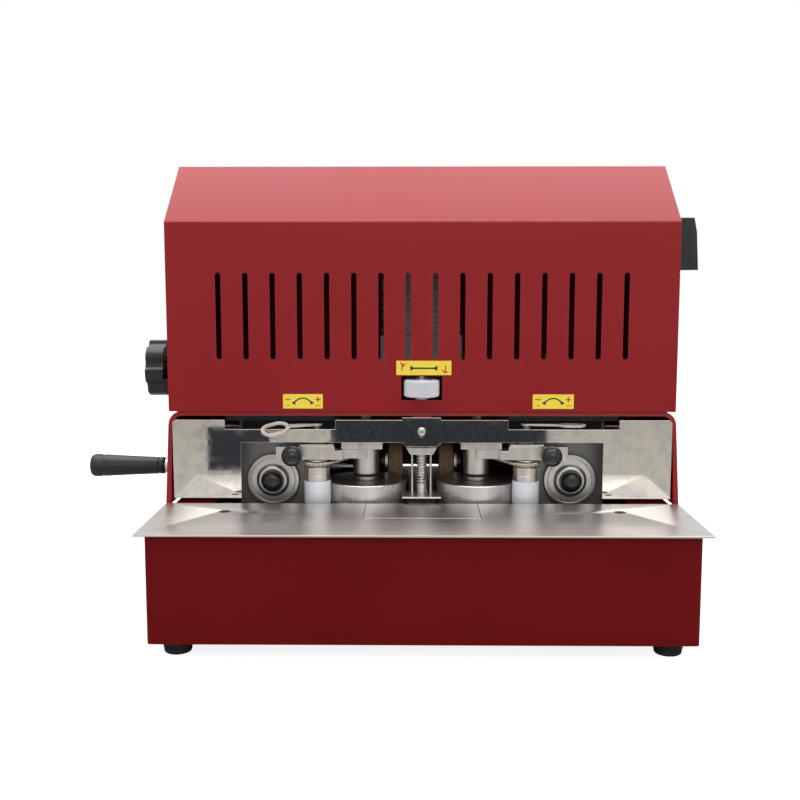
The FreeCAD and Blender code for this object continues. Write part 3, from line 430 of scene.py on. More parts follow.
# ---- Table --------------------------------------------------------------------------------------------
# A 1.7 mm stainless plate, brushed from side to side, with a fitted insert below the strap and two
# countersunk black screws that hold it to the base.
brushed = Finish("brushed stainless", {"Metallic": 1.0})
streak = brushed.noise((5, 420, 420), 3.0)
hair = brushed.noise((30, 2600, 2600), 1.0)
smear = brushed.noise((14, 14, 14), 4.0)
brushed.use(
    color=brushed.blend(streak * 0.6 + smear * 0.4, colour(0.58, 0.56, 0.55), colour(0.84, 0.81, 0.79)),
    roughness=streak * 0.16 + smear * 0.10 + 0.20)
brushed.relief(streak * 0.6 + hair * 0.4, 0.05, 0.5)
table = softened("table_plate", 0.4)
fit(table, "machine", "brushed_stainless", brushed, "table_plate")
insert = softened("table_insert", 0.22)
fit(insert, "machine", "brushed_stainless", brushed, "table_insert")
black_steel = Finish("blackened steel", {"Metallic": 0.5, "Specular IOR Level": 0.25})
scuff = black_steel.noise((300, 300, 300), 3.0)
black_steel.use(color=black_steel.blend(scuff, colour(0.007, 0.007, 0.008), colour(0.022, 0.022, 0.023)),
                roughness=scuff * 0.25 + 0.3)
black_steel.relief(scuff, 0.03, 0.4)
table_screw = lathe("table_screw", [(2.6, -1.7), (5.6, -0.35), (5.9, -0.12), (5.7, -0.02)], 40)
cross_cut(table_screw, 0, 6.4, 1.1, 1.1)
table_screws = set_of("table_screws_countersunk", table_screw,
                      [spot(side * 182.5, 89, 0) for side in (-1, 1)])
ease(table_screws, 0.12)
fit(table_screws, "machine", "black_steel", black_steel, "table_screws")

# ---- Arch ---------------------------------------------------------------------------------------------
# One 4 mm plate bent into an arch, its feet turned in and bolted to the base. The front edges slant.
arch = softened("arch_frame", 0.7, 3)
fit(arch, "machine", "red_paint", red_paint, "arch_frame")


def cap_screw(name, head, places, facing="up", body="machine"):
    """Socket cap screws with a head of the given radius, joined as one set."""
    tall = head * 1.25
    screw = lathe(name, [(head * 0.98, 0), (head, 0.3), (head, tall - 0.5), (head * 0.9, tall),
                         (head * 0.56, tall), (head * 0.52, tall * 0.45)], 36)
    ease(screw, 0.12)
    joined = set_of(name, screw, places, facing)
    fit(joined, body, "black_steel", black_steel)


cap_screw("arch_bolts", 4.2, [spot(side * 226, y, 2.5) for side in (-1, 1) for y in (240, 272, 304)])

# ---- Guard --------------------------------------------------------------------------------------------
# A 1.5 mm stainless guard, polished to a mirror, hung by a keyhole slot on one screw in the arch's lug.
mirror = Finish("mirror stainless", {"Metallic": 1.0})
ripple = mirror.noise((16, 16, 16), 2.0)
stain = mirror.noise((120, 120, 120), 5.0)
mirror.use(
    color=mirror.blend(mirror.sharp(stain, 0.42, 0.72), colour(0.80, 0.76, 0.69), colour(0.64, 0.63, 0.61)),
    roughness=mirror.sharp(stain, 0.40, 0.75) * 0.06 + 0.03)
mirror.relief(ripple, 0.06, 0.25)
guard = softened("guard_panel", 0.3)
fit(guard, "machine", "mirror_stainless", mirror, "guard_panel")
guard_screw = lathe("guard_screw",
                    [(1.9, -1.4), (1.9, 0.1), (3.9, 0.15), (3.9, 1.5), (3.3, 2.3), (2.2, 2.6), (1.2, 2.6),
                     (1.1, 1.4)], 36)
ease(guard_screw, 0.12)
stand(guard_screw, spot(0, 134, 68.2), "front")
fit(guard_screw, "machine", "bright_zinc", zinc, "guard_screw")

# ---- Housing ------------------------------------------------------------------------------------------
# The cover is folded from 1.5 mm sheet, with a sloping front, sixteen vents and a window for the thumb wheel.
# A flat panel with louvres and a slot for the strap closes the back. Screws hold both to the arch.
cover = softened("housing_cover", 0.45)
fit(cover, "machine", "red_paint", red_paint, "housing_cover")
rear = softened("rear_panel", 0.3)
fit(rear, "machine", "red_paint", red_paint, "rear_panel")


def pan_screws(name, radius, places, facing):
    """Pan head screws with a cross recess, joined as one set."""
    tall = radius * 0.62
    screw = lathe(name, [(radius * 0.96, 0), (radius, tall * 0.3), (radius * 0.9, tall * 0.65),
                         (radius * 0.62, tall * 0.92), (radius * 0.3, tall)], 32)
    cross_cut(screw, tall, radius * 1.15, radius * 0.24, tall * 0.6)
    ease(screw, 0.06)
    joined = set_of(name, screw, places, facing)
    fit(joined, "machine", "black_steel", black_steel)


SIDES = (("left", -1), ("right", 1))
for word, side in SIDES:
    pan_screws(f"cover_screws_{word}", 3.2, [spot(side * 245, y, 93) for y in (168, 240, 320)], word)
pan_screws("rear_screws", 3.2, [spot(x, 335.9, z) for x in (-236, -80, 80, 236) for z in (93, 317)], "back")

# ---- Labels -------------------------------------------------------------------------------------------
# Three yellow vinyl labels over the thumb wheel and the ring levers, each printed with arrows and signs only.
vinyl = Finish("yellow vinyl", {"Roughness": 0.35, "Coat Weight": 0.3, "Coat Roughness": 0.1})
print_grain = vinyl.noise((90, 90, 90), 3.0)
vinyl.use(color=vinyl.blend(print_grain, colour(0.86, 0.66, 0.045), colour(0.93, 0.78, 0.07)),
          roughness=print_grain * 0.2 + 0.25)
vinyl.relief(print_grain, 0.03, 0.3)
label = softened("labels", 0.08)
fit(label, "machine", "label_yellow", vinyl, "labels")
ink_black = Finish("black print", {"Roughness": 0.45})
ink_black.use(color=ink_black.blend(ink_black.noise((400, 400, 400)), colour(0.008, 0.008, 0.008),
                                    colour(0.03, 0.028, 0.022)))
ink_red = Finish("red print", {"Roughness": 0.45})
ink_red.use(color=ink_red.blend(ink_red.noise((400, 400, 400)), colour(0.62, 0.05, 0.01),
                                colour(0.75, 0.10, 0.02)))
print_y = 144.06


def bar(x, z, wide, tall, tilt=0.0):
    """A printed bar on the housing's front, its middle at x and z, turned by tilt degrees."""
    bpy.ops.object.select_all(action="DESELECT")
    bpy.ops.mesh.primitive_cube_add(size=1)
    mark = bpy.context.object
    mark.scale = (wide * MM, 0.1 * MM, tall * MM)
    mark.rotation_euler = (0, math.radians(tilt), 0)
    mark.location = spot(x, print_y, z)
    bpy.ops.object.transform_apply(location=True, rotation=True, scale=True)
    bpy.ops.object.mode_set(mode="EDIT")
    bpy.ops.mesh.select_all(action="SELECT")
    bpy.ops.mesh.bevel(offset=0.02 * MM, segments=1)
    bpy.ops.object.mode_set(mode="OBJECT")
    return mark


def arrow_head(x, z, size, tilt):
    """A printed arrow head that points to the right when tilt is 0."""
    bpy.ops.object.select_all(action="DESELECT")
    bpy.ops.mesh.primitive_cylinder_add(vertices=3, radius=size * MM, depth=0.12 * MM)
    mark = bpy.context.object
    bpy.ops.object.mode_set(mode="EDIT")
    bpy.ops.mesh.select_all(action="SELECT")
    bpy.ops.transform.rotate(value=math.radians(-90), orient_axis="Z", center_override=(0, 0, 0))
    bpy.ops.mesh.bevel(offset=0.02 * MM, segments=1)
    bpy.ops.object.mode_set(mode="OBJECT")
    mark.rotation_euler = (math.radians(90), 0, 0)
    bpy.ops.object.transform_apply(rotation=True)
    mark.rotation_euler = (0, math.radians(-tilt), 0)
    mark.location = spot(x, print_y, z)
    bpy.ops.object.transform_apply(location=True, rotation=True)
    return mark


def printed(name, marks, ink):
    """Marks joined as one print on the labels."""
    only(marks[0])
    for mark in marks:
        mark.select_set(True)
    bpy.ops.object.join()
    fit(named(name), "machine", "label_yellow", ink)


printed("height_arrow",
        [bar(2, 128.2, 21, 1.5), arrow_head(13.5, 128.2, 3.0, 0), arrow_head(-9.5, 128.2, 3.0, 180)],
        ink_black)
printed("height_signs",
        [bar(-19, 129.4, 1.3, 7), bar(-19, 132.4, 4.2, 1.2, 35), bar(-16.9, 131.1, 1.2, 4.0, 45),
         bar(23, 127.4, 1.3, 7), bar(23, 124.4, 4.2, 1.2), bar(20.6, 125.6, 1.2, 3.4, -45)],
        ink_red)
for word, middle in (("left", -114.8), ("right", 126.8)):
    swing = []
    bend, bend_z = 9.5, 89.6
    for step in range(9):
        angle = math.radians(40 + step * 12.5)
        x, z = middle + bend * math.cos(angle), bend_z + bend * math.sin(angle)
        swing.append(bar(x, z, 2.4, 1.2, 90 - math.degrees(angle)))
    swing.append(arrow_head(middle + 8.6, 94.6, 2.4, -62))
    swing.append(arrow_head(middle - 8.6, 94.6, 2.4, 242))
    printed(f"turn_arrow_{word}", swing, ink_black)
    printed(f"turn_signs_{word}", [bar(middle - 14.5, 98, 5.2, 1.2), bar(middle + 14.5, 98, 5.2, 1.2),
                                   bar(middle + 14.5, 98, 1.2, 5.2), bar(middle - 14.5, 92, 3.0, 0.7),
                                   bar(middle + 14.5, 92, 5.2, 0.7)], ink_red)

# ---- Switch pod and inlet -----------------------------------------------------------------------------
# A moulded wedge screwed to the housing's right side, with a rocker switch in a recess. The mains inlet, with
# its three pins, clips into the rear panel.
plastic = Finish("black plastic", {"IOR": 1.46})
pebble = plastic.noise((900, 900, 900), 2.0)
haze = plastic.noise((35, 35, 35), 3.0)
plastic.use(
    color=plastic.blend(plastic.wear(0.8) * 0.6,
                        plastic.blend(haze, colour(0.012, 0.012, 0.013), colour(0.022, 0.022, 0.024)),
                        colour(0.10, 0.10, 0.105)),
    roughness=pebble * 0.12 + haze * 0.15 + 0.28)
plastic.relief(pebble, 0.04, 0.5)
gloss_black = Finish("glossy black",
                     {"IOR": 1.5, "Coat Weight": 0.2, "Coat Roughness": 0.1, "Specular IOR Level": 0.35})
film = gloss_black.noise((60, 60, 60), 4.0)
gloss_black.use(color=gloss_black.blend(film, colour(0.008, 0.008, 0.010), colour(0.020, 0.020, 0.023)),
                roughness=film * 0.2 + 0.14)
gloss_black.relief(film, 0.05, 0.2)
pod = softened("switch_pod", 1.1, 3)
fit(pod, "machine", "black_plastic", plastic, "switch_pod")
rocker = softened("power_rocker", 0.4)
fit(rocker, "power_rocker", "black_plastic", gloss_black, "power_rocker")
coat(plastic, "power_inlet")


def block(name, size, place=(0, 0, 0)):
    """A block of so many millimetres along X, Y and Z, with its middle at a place."""
    bpy.ops.object.select_all(action="DESELECT")
    bpy.ops.mesh.primitive_cube_add(size=1, scale=[length * MM for length in size], location=place)
    piece = named(name)
    bpy.ops.object.transform_apply(location=True, scale=True)
    return piece


def pick_faces(piece, wanted):
    """Opens a piece for editing, with those faces selected whose normals are wanted."""
    bpy.ops.object.mode_set(mode="EDIT")
    bpy.ops.mesh.select_mode(type="FACE")
    bpy.ops.mesh.select_all(action="DESELECT")
    mesh = bmesh.from_edit_mesh(piece.data)
    for face in mesh.faces:
        face.select_set(wanted(face.normal))
    bmesh.update_edit_mesh(piece.data)


pin_brass = Finish("pin brass", {"Metallic": 1.0})
tarnish = pin_brass.noise((500, 500, 500), 3.0)
pin_brass.use(color=pin_brass.blend(tarnish, colour(0.50, 0.36, 0.16), colour(0.72, 0.55, 0.28)),
              roughness=tarnish * 0.3 + 0.2)
pin = block("inlet_pin", (2.3, 14, 4.7))
ease(pin, 0.4)
inlet_x = -172
pin_places = [spot(inlet_x + x, 329.3, z) for x, z in ((-7, 120), (0, 124), (7, 120))]
pins = set_of("inlet_pins", pin, pin_places)
fit(pins, "machine", "bright_zinc", pin_brass)
pan_screws("inlet_screws", 2.0, [spot(inlet_x + x, 339.0, 110.6) for x in (-15.5, 15.5)], "back")
bpy.ops.object.select_all(action="DESELECT")
bpy.ops.mesh.primitive_cylinder_add(vertices=40, radius=2.0 * MM, depth=0.5 * MM)
rocker_dot = named("rocker_dot")
pick_faces(rocker_dot, lambda normal: abs(normal.z) > 0.9)
bpy.ops.mesh.inset(thickness=0.5 * MM)
bpy.ops.mesh.delete(type="FACE")
bpy.ops.mesh.select_all(action="SELECT")
bpy.ops.mesh.select_mode(type="EDGE")
bpy.ops.mesh.select_non_manifold()
bpy.ops.mesh.bridge_edge_loops()
bpy.ops.object.mode_set(mode="OBJECT")
nylon = Finish("white nylon",
               {"IOR": 1.53, "Subsurface Weight": 0.15, "Subsurface Radius": (0.002, 0.002, 0.002)})
wipe = nylon.noise((70, 70, 300), 3.0)
nylon.use(color=nylon.blend(wipe, colour(0.60, 0.60, 0.64), colour(0.76, 0.76, 0.80)),
          roughness=wipe * 0.25 + 0.25)
nylon.relief(wipe, 0.05, 0.3)
stand(rocker_dot, spot(268.6, 210, 248), "right")
ease(rocker_dot, 0.05)
fit(rocker_dot, "power_rocker", "white_nylon", nylon)

# ---- Drive --------------------------------------------------------------------------------------------
# A gear motor stands on a deck over the arch: cast gearbox below, turned motor can with end bells above.
# Two meshed steel gears under the deck carry grooved pulleys, and round amber belts run to the wheels.
motor_paint = Finish("motor enamel", {"Roughness": 0.4, "Metallic": 0.3})
bloom = motor_paint.noise((50, 50, 50), 4.0)
motor_paint.use(color=motor_paint.blend(bloom, colour(0.52, 0.53, 0.54), colour(0.66, 0.67, 0.68)),
                roughness=bloom * 0.3 + 0.25)
motor_paint.relief(bloom, 0.1, 0.3)
motor_y = 245
rib_rings = [(36, 156), (41, 156.5), (41.8, 158)]
for rib in range(9):
    low = 162 + rib * 5.6
    rib_rings += [(41.8, low), (40.2, low + 0.6), (40.2, low + 2.2), (41.8, low + 2.8)]
rib_rings += [(41.8, 214), (39.5, 215), (39.5, 217), (41.9, 218), (41.9, 223), (40, 225.6), (33, 226),
              (32.6, 229.4), (20, 229.8), (19.5, 228.6), (6, 228.6), (5.6, 229.9)]
can = lathe("motor_can", rib_rings, 72)
stand(can, spot(0, motor_y, 0))
ease(can, 0.2)
fit(can, "machine", "motor_grey", motor_paint, "gear_motor")
gearbox = block("motor_gearbox", (84, 84, 36), spot(0, motor_y, 138))
pick_faces(gearbox, lambda normal: abs(normal.z) < 0.5)
bpy.ops.mesh.inset(thickness=6 * MM, depth=-1.6 * MM, use_individual=True)
bpy.ops.object.mode_set(mode="OBJECT")
ease(gearbox, 1.2, 3)
fit(gearbox, "machine", "motor_grey", motor_paint)
cap_screw("gearbox_screws", 2.6, [spot(x, motor_y + y, 155.6) for x in (-36, 36) for y in (-36, 36)])
steel = Finish("turned steel", {"Metallic": 1.0})
lines = steel.noise((60, 60, 1700), 2.0)
shade = steel.noise((25, 25, 25), 3.0)
steel.use(color=steel.blend(lines * 0.5 + shade * 0.5, colour(0.44, 0.43, 0.41), colour(0.66, 0.64, 0.60)),
          roughness=lines * 0.16 + shade * 0.12 + 0.16)
steel.relief(lines, 0.02, 0.5)
coat(steel, "drive_gear_left", "drive_gear_right", "jackshaft_left", "jackshaft_right", "guide_rods")
deck = softened("motor_stand", 0.5)
fit(deck, "machine", "bright_zinc", zinc, "motor_stand")
cap_screw("deck_bolts", 4.2, [spot(x, y, 119.9) for x in (-74, 74) for y in (216, 290)])
amber = Finish("amber belt", {"Roughness": 0.35, "IOR": 1.5, "Subsurface Weight": 0.2,
                              "Subsurface Radius": (0.002, 0.001, 0.0005)})
sweat = amber.noise((200, 200, 200), 3.0)
amber.use(color=amber.blend(sweat, colour(0.34, 0.12, 0.015), colour(0.55, 0.24, 0.04)),
          roughness=sweat * 0.2 + 0.25)
amber.relief(sweat, 0.05, 0.4)
for word, side in SIDES:
    belt = softened(f"drive_belt_{word}", 0.1)
    belt.data.materials.append(amber.material)
    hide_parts(f"drive_belt_{word}")
    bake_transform(belt)

# ---- Strap width --------------------------------------------------------------------------------------
# A lobed knob turns a lead screw with left and right hand threads, which draws both carriages in or out on
# two ground guide rods.
thread = Finish("threaded steel", {"Metallic": 1.0})
# Wave bands along the screw paint its thread roots dark as painted shade, and also set its roughness and real
# bumps.
crest_and_root_shade = thread.node("ShaderNodeTexWave", {"bands_direction": "X"}, {
    "Vector": thread.node("ShaderNodeTexCoord", output="Object"), "Scale": 160.0}, output="Fac")
thread.use(color=thread.blend(crest_and_root_shade, colour(0.20, 0.19, 0.17), colour(0.60, 0.58, 0.53)),
           roughness=crest_and_root_shade * 0.15 + 0.25)
thread.relief(crest_and_root_shade, 0.5, 0.8)
coat(thread, "lead_screw")
bearing = softened("screw_bearings", 0.8)
fit(bearing, "machine", "grey_casting", motor_paint, "screw_bearings")
knob = softened("width_knob", 1.4, 3)
fit(knob, "width_adjuster", "black_plastic", gloss_black, "width_knob")
knob_cap = lathe("width_knob_cap",
                 [(11.6, -0.6), (11.6, 0.0), (10.8, 0.5), (9.8, 0.5), (9.4, 0.15), (1.5, 0.1)], 56)
stand(knob_cap, spot(-271.6, 190, 124.6), "left")
ease(knob_cap, 0.12)
fit(knob_cap, "width_adjuster", "bright_zinc", zinc)

# ---- Less and more levers -----------------------------------------------------------------------------
# Black brackets under the arch carry two flat plated levers, each with an oval finger ring, that swing
# on short pins held by bright bushes.
hangers = softened("lever_mounts", 0.5)
fit(hangers, "machine", "black_steel", black_steel, "lever_mounts")
satin = Finish("satin stainless", {"Metallic": 1.0})
rub = satin.noise((260, 260, 40), 3.0)
satin.use(color=satin.blend(rub, colour(0.60, 0.57, 0.53), colour(0.80, 0.77, 0.72)),
          roughness=rub * 0.2 + 0.22)
satin.relief(rub, 0.03, 0.4)
pale = Finish("pale plated steel", {"Metallic": 0.35, "Specular IOR Level": 0.4})
plate_cloud = pale.noise((150, 150, 150), 4.0)
pale.use(color=pale.blend(plate_cloud, colour(0.50, 0.46, 0.42), colour(0.66, 0.62, 0.57)),
         roughness=plate_cloud * 0.2 + 0.3)
pale.relief(plate_cloud, 0.02, 0.3)
for word, side in SIDES:
    lever = softened(f"ring_lever_{word}", 0.5, 3)
    fit(lever, f"ring_lever_{word}", "bright_zinc", pale, f"ring_lever_{word}")
    bush = lathe("lever_bush", [(2.6, -1.2), (4.0, -1.2), (4.0, 1.5), (3.4, 2.2), (2.0, 2.4)], 36)
    ease(bush, 0.12)
    stand(bush, spot(side * 102, 150, 70.6), "down")
    bush.name = f"lever_bush_{word}"
    fit(bush, "machine", "bright_zinc", zinc)

# ---- Hold-down ----------------------------------------------------------------------------------------
# A white knurled thumb wheel turns on a threaded rod. The rod carries a wedge-shaped seat, and a coil spring
# under it pushes a polished foot down on the strap, guided by two thin pins.
rod_y, pitch = 152, 1.25
rod_rings = [(2.3, 12.5), (2.5, 12.9), (2.5, 20.6), (3.6, 21), (3.9, 21.5), (3.9, 52)]
for turn in range(58):
    low = 52.4 + turn * pitch
    rod_rings += [(3.45, low), (3.5, low + 0.2), (3.97, low + 0.62), (3.97, low + 0.78)]
rod_rings += [(3.4, 125.2), (2.9, 125.8)]
screw_rod = lathe("height_rod_threaded", rod_rings, 28)
only(screw_rod)
bpy.ops.object.shade_smooth_by_angle(angle=math.radians(25))
stand(screw_rod, spot(0, rod_y, 0))
fit(screw_rod, "height_rod", "bright_zinc", steel, "height_rod")
seat_wide, seat_narrow = 30, 22
seat = block("spring_seat", (seat_wide, 18, 7), spot(0, rod_y, 47.5))
pick_faces(seat, lambda normal: normal.z < -0.9)
bpy.ops.transform.resize(value=(seat_narrow / seat_wide, 1, 1), center_override=spot(0, rod_y, 44))
bpy.ops.object.mode_set(mode="OBJECT")
ease(seat, 0.5, 3)
fit(seat, "height_rod", "bright_zinc", satin)
strap_foot = softened("hold_down_foot", 0.25)
fit(strap_foot, "foot", "mirror_stainless", satin, "hold_down_foot")


def wound(name, line, coil, wire, turns, closed):
    """A wire wound round a line of points, all in millimetres, made into a mesh."""
    gaps = [(second - first).length for first, second in zip(line, line[1:])]
    around = 12
    steps = turns * around
    points = []
    part, along = 0, 0.0
    spacing = sum(gaps) / steps
    for step in range(steps):
        while part < len(gaps) - 1 and along > gaps[part]:
            along -= gaps[part]
            part += 1
        heading = (line[part + 1] - line[part]).normalized()
        out = heading.cross(Vector((0, 0, 1)))
        if out.length < 0.1:
            out = Vector((1, 0, 0))
        out.normalize()
        angle = math.tau * step / around
        centre = line[part] + heading * along
        offset = out * math.cos(angle) + heading.cross(out) * math.sin(angle)
        points.append((centre + offset * coil) * MM)
        along += spacing
    curve = bpy.data.curves.new(name, "CURVE")
    curve.dimensions = "3D"
    curve.bevel_depth = wire * MM
    curve.bevel_resolution = 1
    curve.use_fill_caps = not closed
    spline = curve.splines.new("POLY")
    spline.points.add(len(points) - 1)
    for knot, point in zip(spline.points, points):
        knot.co = (*point, 1)
    spline.use_cyclic_u = closed
    piece = bpy.data.objects.new(name, curve)
    scene.collection.objects.link(piece)
    only(piece)
    bpy.ops.object.convert(target="MESH")
    piece = bpy.context.object
    bpy.ops.object.shade_smooth_by_angle(angle=math.radians(60))
    return piece


spring_line = [Vector((0, 0, height)) for height in (6.7, 20, 30, 43.3)]
spring = wound("foot_spring_wound", spring_line, 4.9, 0.6, 13, False)
stand(spring, spot(0, rod_y, 0))
fit(spring, "height_rod", "bright_zinc", satin, "foot_spring")
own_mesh(spring)

knurls = 120
thumb = lathe("thumb_wheel_knurled",
              [(5.2, 86.3), (6, 86.8), (6, 100.2), (15.8, 100.2), (16.2, 100.4), (17.4, 101.6), (17.4, 115.4),
               (16.2, 116.8), (13.5, 117), (12.8, 116.2), (6.5, 116.2), (6, 117), (4.3, 117)], knurls)
bpy.ops.object.mode_set(mode="EDIT")
bpy.ops.mesh.select_mode(type="VERT")
bpy.ops.mesh.select_all(action="DESELECT")
rim = bmesh.from_edit_mesh(thumb.data)
for corner in rim.verts:
    tooth = round(math.atan2(corner.co.y, corner.co.x) / math.tau * knurls)
    corner.select_set(corner.co.xy.length > 17 * MM and tooth % 2 == 0)
bmesh.update_edit_mesh(thumb.data)
bpy.ops.transform.resize(value=(0.955, 0.955, 1), center_override=(0, 0, 0))
bpy.ops.object.mode_set(mode="OBJECT")
only(thumb)
bpy.ops.object.shade_smooth_by_angle(angle=math.radians(20))
stand(thumb, spot(0, rod_y, 0))
fit(thumb, "thumb_wheel", "white_nylon", nylon, "thumb_wheel")

# ---- Press wheels -------------------------------------------------------------------------------------
# Two brown rubber wheels with steel flanges roll on the strap as it leaves. Their forked yoke hinges between
# two posts, and the lever on the left lifts it.
brown = Finish("brown rubber", {"Specular IOR Level": 0.3})
crumb = brown.noise((420, 420, 420), 3.0)
brown.use(color=brown.blend(crumb, colour(0.34, 0.22, 0.11), colour(0.52, 0.38, 0.22)),
          roughness=crumb * 0.2 + 0.55)
brown.relief(crumb, 0.15, 0.5)
press_axle = spot(0, 236, 22)
for word, side in SIDES:
    tread = lathe("tread", [(18.2, 19), (19.4, 19.3), (20, 20), (20, 22.6), (19.3, 23), (19.3, 23.8),
                            (20, 24.2), (20, 28.8), (19.3, 29.2), (19.3, 30), (20, 30.4), (20, 33),
                            (19.4, 33.7), (17.8, 34)], 72)
    ease(tread, 0.15)
    stand(tread, press_axle, word)
    tread.name = f"press_tread_{word}"
    fit(tread, "press_wheels", "brown_rubber", brown, "press_wheels")
    flange = lathe("flange", [(16.8, 34.05), (17.9, 34.3), (18, 35), (18, 37.4), (17.2, 38), (10, 38.4),
                              (9.4, 41.6), (8.4, 42), (4.3, 42), (4.2, 41.2)], 64)
    ease(flange, 0.2)
    stand(flange, press_axle, word)
    flange.name = f"press_flange_{word}"
    fit(flange, "press_wheels", "turned_steel", satin)
yoke = softened("press_yoke", 0.7, 3)
fit(yoke, "press_yoke", "black_steel", black_steel, "press_yoke")
posts = softened("yoke_posts", 0.8, 3)
fit(posts, "machine", "bright_zinc", zinc, "yoke_posts")
lever = softened("lift_lever", 0.3)
fit(lever, "lift_lever", "bright_zinc", zinc, "lift_lever")
bracket = softened("lever_bracket", 0.6)
fit(bracket, "machine", "black_steel", black_steel, "lever_bracket")
grip = lathe("lever_grip_moulded",
             [(6.6, 0), (8.2, 0.3), (8.8, 1.2), (8.8, 4.6), (8.2, 5.2), (8.2, 6.0), (8.8, 6.6), (9.3, 20),
              (10.1, 38), (11.0, 56), (11.4, 63), (11.0, 64), (11.0, 65), (11.5, 66), (11.8, 69), (11.8, 72),
              (11.3, 74.6), (10.0, 76.6), (7.6, 77.4), (3.0, 77.6)], 56)
ease(grip, 0.3)
lever_y, lever_z = 222, 18.8
stand(grip, spot(-268, lever_y, lever_z), "left")
fit(grip, "lift_lever", "black_plastic", plastic, "lever_grip")
ferrule = lathe("lever_ferrule", [(6.1, 0), (7.4, 0.4), (7.6, 1), (7.6, 6), (6.9, 6.6), (6.9, 8.2),
                                  (7.6, 8.8), (7.6, 15), (6.3, 15.8)], 48)
ease(ferrule, 0.2)
stand(ferrule, spot(-252, lever_y, lever_z), "left")
fit(ferrule, "lift_lever", "bright_zinc", satin)

# ---- Carriages ----------------------------------------------------------------------------------------
# Each cast carriage slides on the guide rods. A turned stem hangs from it over the inking wheel's neck, with
# a rubber seal between them, and a round steel tray under the wheel holds the ink.
casting_grey = Finish("grey casting", {"Metallic": 0.8})
sand = casting_grey.noise((380, 380, 380), 4.0)
tone = casting_grey.noise((22, 22, 22), 2.0)
casting_grey.use(color=casting_grey.blend(sand * 0.5 + tone * 0.5, colour(0.16, 0.157, 0.155),
                                          colour(0.30, 0.295, 0.29)),
                 roughness=sand * 0.25 + 0.35)
casting_grey.relief(sand, 0.08, 0.5)
ground = Finish("ground steel", {"Metallic": 0.8})
up_lines = ground.noise((820, 820, 14), 2.0)
patch = ground.noise((30, 30, 30), 3.0)
# Faces that point up are painted dark: painted shade on the wheel tops, which are the same ground steel as
# the rims.
facing_up_for_painted_shade = ground.node("ShaderNodeSeparateXYZ", {}, {
    "Vector": ground.node("ShaderNodeNewGeometry", output="True Normal")}, output="Z")
rim_colour = ground.blend(up_lines * 0.4 + patch * 0.4, colour(0.56, 0.54, 0.52), colour(0.70, 0.68, 0.65))
ground.use(color=ground.blend(ground.sharp(facing_up_for_painted_shade, 0.9, 0.99), rim_colour, colour(0.20, 0.195, 0.19)),
           roughness=up_lines * 0.18 + patch * 0.1 + 0.14)
ground.relief(up_lines, 0.01, 0.25)
for word, side in SIDES:
    body = f"carriage_{word}"
    stem_place = spot(side * 55, 171.7, 0)
    carriage = softened(body, 0.8, 3)
    fit(carriage, body, "grey_casting", casting_grey, body)
    stem = lathe("stem", [(12.2, 21.4), (12.7, 21.5), (13.05, 21.9), (13.05, 48.9)], 72)
    ease(stem, 0.12)
    stand(stem, stem_place)
    stem.name = f"stem_{word}"
    fit(stem, body, "turned_steel", satin)
    for part, finish, slot, rings in (
            ("neck_ring", satin, "turned_steel",
             [(12.05, 15.1), (12.7, 15.3), (12.9, 15.7), (12.9, 18.0), (12.5, 18.5), (12.05, 18.6)]),
            ("neck_seal", rubber, "black_rubber",
             [(12.05, 18.7), (12.35, 18.8), (12.35, 20.9), (12.05, 21.1)])):
        ring = lathe(part, rings, 72)
        ease(ring, 0.08)
        stand(ring, stem_place)
        ring.name = f"{part}_{word}"
        fit(ring, f"ink_wheel_{word}", slot, finish)
    hanger = block(f"stem_plate_{word}", (40.1, 30, 7.1), spot(side * 58, 159.9, 52.5))
    ease(hanger, 0.6, 3)
    fit(hanger, body, "grey_casting", satin)
    tray = softened(f"ink_tray_{word}", 0.4)
    fit(tray, body, "brushed_stainless", brushed, f"ink_tray_{word}")
    wheel = softened(f"ink_wheel_{word}", 0.45)
    fit(wheel, f"ink_wheel_{word}", "turned_steel", ground, f"ink_wheel_{word}")

# ---- Dials --------------------------------------------------------------------------------------------
# A turned dial on the front of each carriage, with a raised ring and a black domed cap pressed into it.
face_steel = Finish("faced steel", {"Metallic": 1.0})
rings = face_steel.noise((900, 60, 900), 2.0)
wash = face_steel.noise((26, 26, 26), 3.0)
face_steel.use(color=face_steel.blend(rings * 0.4 + wash * 0.6, colour(0.44, 0.43, 0.41),
                                      colour(0.70, 0.68, 0.64)),
               roughness=rings * 0.15 + wash * 0.12 + 0.24)
face_steel.relief(rings, 0.02, 0.4)
for word, side in SIDES:
    centre = spot(side * 146.5, 164.7, 16)
    dial = lathe("dial", [(25.2, 0), (26, 0.5), (26, 5.1), (25.3, 5.9), (22.6, 6.0), (22.3, 5.6), (21.7, 5.6),
                          (21.4, 6.0), (16.3, 6.0), (15.9, 6.6), (15.6, 8.2), (14.2, 10.4), (13.2, 11.0),
                          (11.4, 11.0), (10.9, 10.6), (10.6, 9.6)], 96)
    ease(dial, 0.18)
    stand(dial, centre, "front")
    dial.name = f"dial_{word}_turned"
    fit(dial, f"dial_{word}", "turned_steel", face_steel, f"dial_{word}")
    cap = lathe("cap", [(10.1, 9.8), (10.3, 10.4), (10.3, 13.8), (9.9, 15.4), (9.2, 16.9), (8.2, 18.5),
                        (7.6, 19.1), (6.4, 19.6), (5.2, 20.3), (3.2, 20.55), (0.8, 20.6)], 64)
    ease(cap, 0.15)
    stand(cap, centre, "front")
    cap.name = f"dial_cap_{word}_domed"
    fit(cap, f"dial_{word}", "black_plastic", gloss_black, f"dial_cap_{word}")

# ---- Roller arms --------------------------------------------------------------------------------------
# A milled arm swings forward on its pin by a black ball knob. It carries the white roller and its pulley,
# which a belt made of coiled spring drives from the jackshaft.


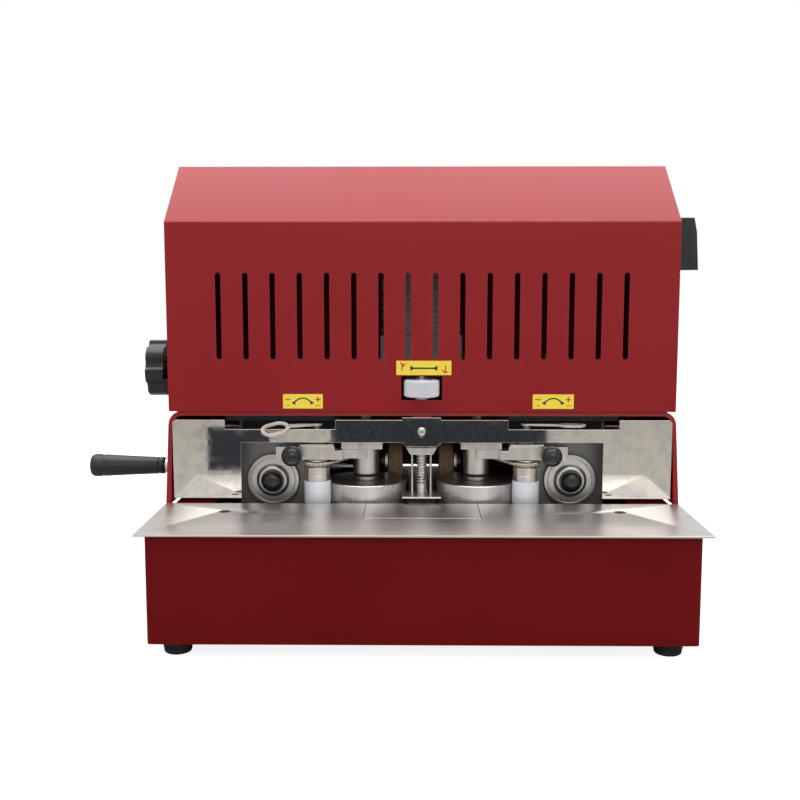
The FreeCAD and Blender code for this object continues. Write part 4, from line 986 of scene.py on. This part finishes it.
def belt_line(first, first_r, second, second_r, height):
    """Points of a closed loop round two pulleys, in millimetres."""
    run = second - first
    heading = math.atan2(run.y, run.x)
    lean = math.acos((first_r - second_r) / run.length)
    line = []
    steps = 24
    for centre, radius, begin, end in ((second, second_r, heading + lean, heading - lean),
                                       (first, first_r, heading - lean, heading + lean - math.tau)):
        for step in range(steps + 1):
            angle = begin + (end - begin) * step / steps
            line.append(Vector((centre.x + radius * math.cos(angle), centre.y + radius * math.sin(angle),
                                height)))
    line.append(line[0].copy())
    return line


bronze = Finish("bright spring wire", {"Metallic": 1.0})
tint = bronze.noise((130, 130, 130), 2.0)
bronze.use(color=bronze.blend(tint, colour(0.50, 0.40, 0.30), colour(0.78, 0.72, 0.64)),
           roughness=tint * 0.2 + 0.15)
bronze.relief(tint, 0.02, 0.3)
ball_rings = [(4.4, -8.98)]
for step in range(18):
    angle = math.radians(-60 + step * 8.8)
    ball_rings.append((10 * math.cos(angle), 10 * math.sin(angle)))
for word, side in SIDES:
    body = f"roller_arm_{word}"
    jack, axle = Vector((side * 69.9, 193.0)), Vector((side * 101.2, 144.7))
    axle_place = spot(*axle, 0)
    arm = softened(body, 0.55, 3)
    fit(arm, body, "brushed_stainless", satin, body)
    ball = lathe("ball", ball_rings, 64)
    ease(ball, 0.05)
    stand(ball, spot(side * 124.5, 129.5, 45), "front")
    ball.name = f"ball_knob_{word}_moulded"
    fit(ball, body, "black_plastic", gloss_black, f"ball_knob_{word}")
    cap_screw(f"arm_screws_{word}", 2.3, [spot(side * x, 145, 53.6) for x in (92, 111)], "up", body)
    roller = lathe("roller", [(12.0, -3.2), (12.8, -2.9), (13, -2.2), (13, 18.4), (12.7, 19)], 80)
    ease(roller, 0.15)
    stand(roller, axle_place)
    roller.name = f"ink_roller_{word}_nylon"
    fit(roller, f"ink_roller_{word}", "white_nylon", nylon, f"ink_roller_{word}")
    drum = lathe("drum", [(11.8, 19.05), (12.3, 19.4), (12.3, 24.6), (12.05, 24.8), (12.05, 25.4),
                          (12.3, 25.6), (12.3, 32.2), (11.9, 32.6), (9.8, 33.4), (9.4, 34.4), (9.4, 37),
                          (9.8, 38), (10.8, 38.8), (10.6, 39.2)], 80)
    ease(drum, 0.12)
    stand(drum, axle_place)
    drum.name = f"roller_pulley_{word}_turned"
    fit(drum, f"ink_roller_{word}", "turned_steel", satin, f"roller_pulley_{word}")
    belt_z = 35.7
    coil = wound(f"spring_belt_{word}_wound", belt_line(jack, 7, axle, 11.6, belt_z), 1.6, 0.36, 176, True)
    stand(coil, spot(0, 0, 0))
    coil.data.materials.append(bronze.material)
    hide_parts(f"spring_belt_{word}")
    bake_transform(coil)
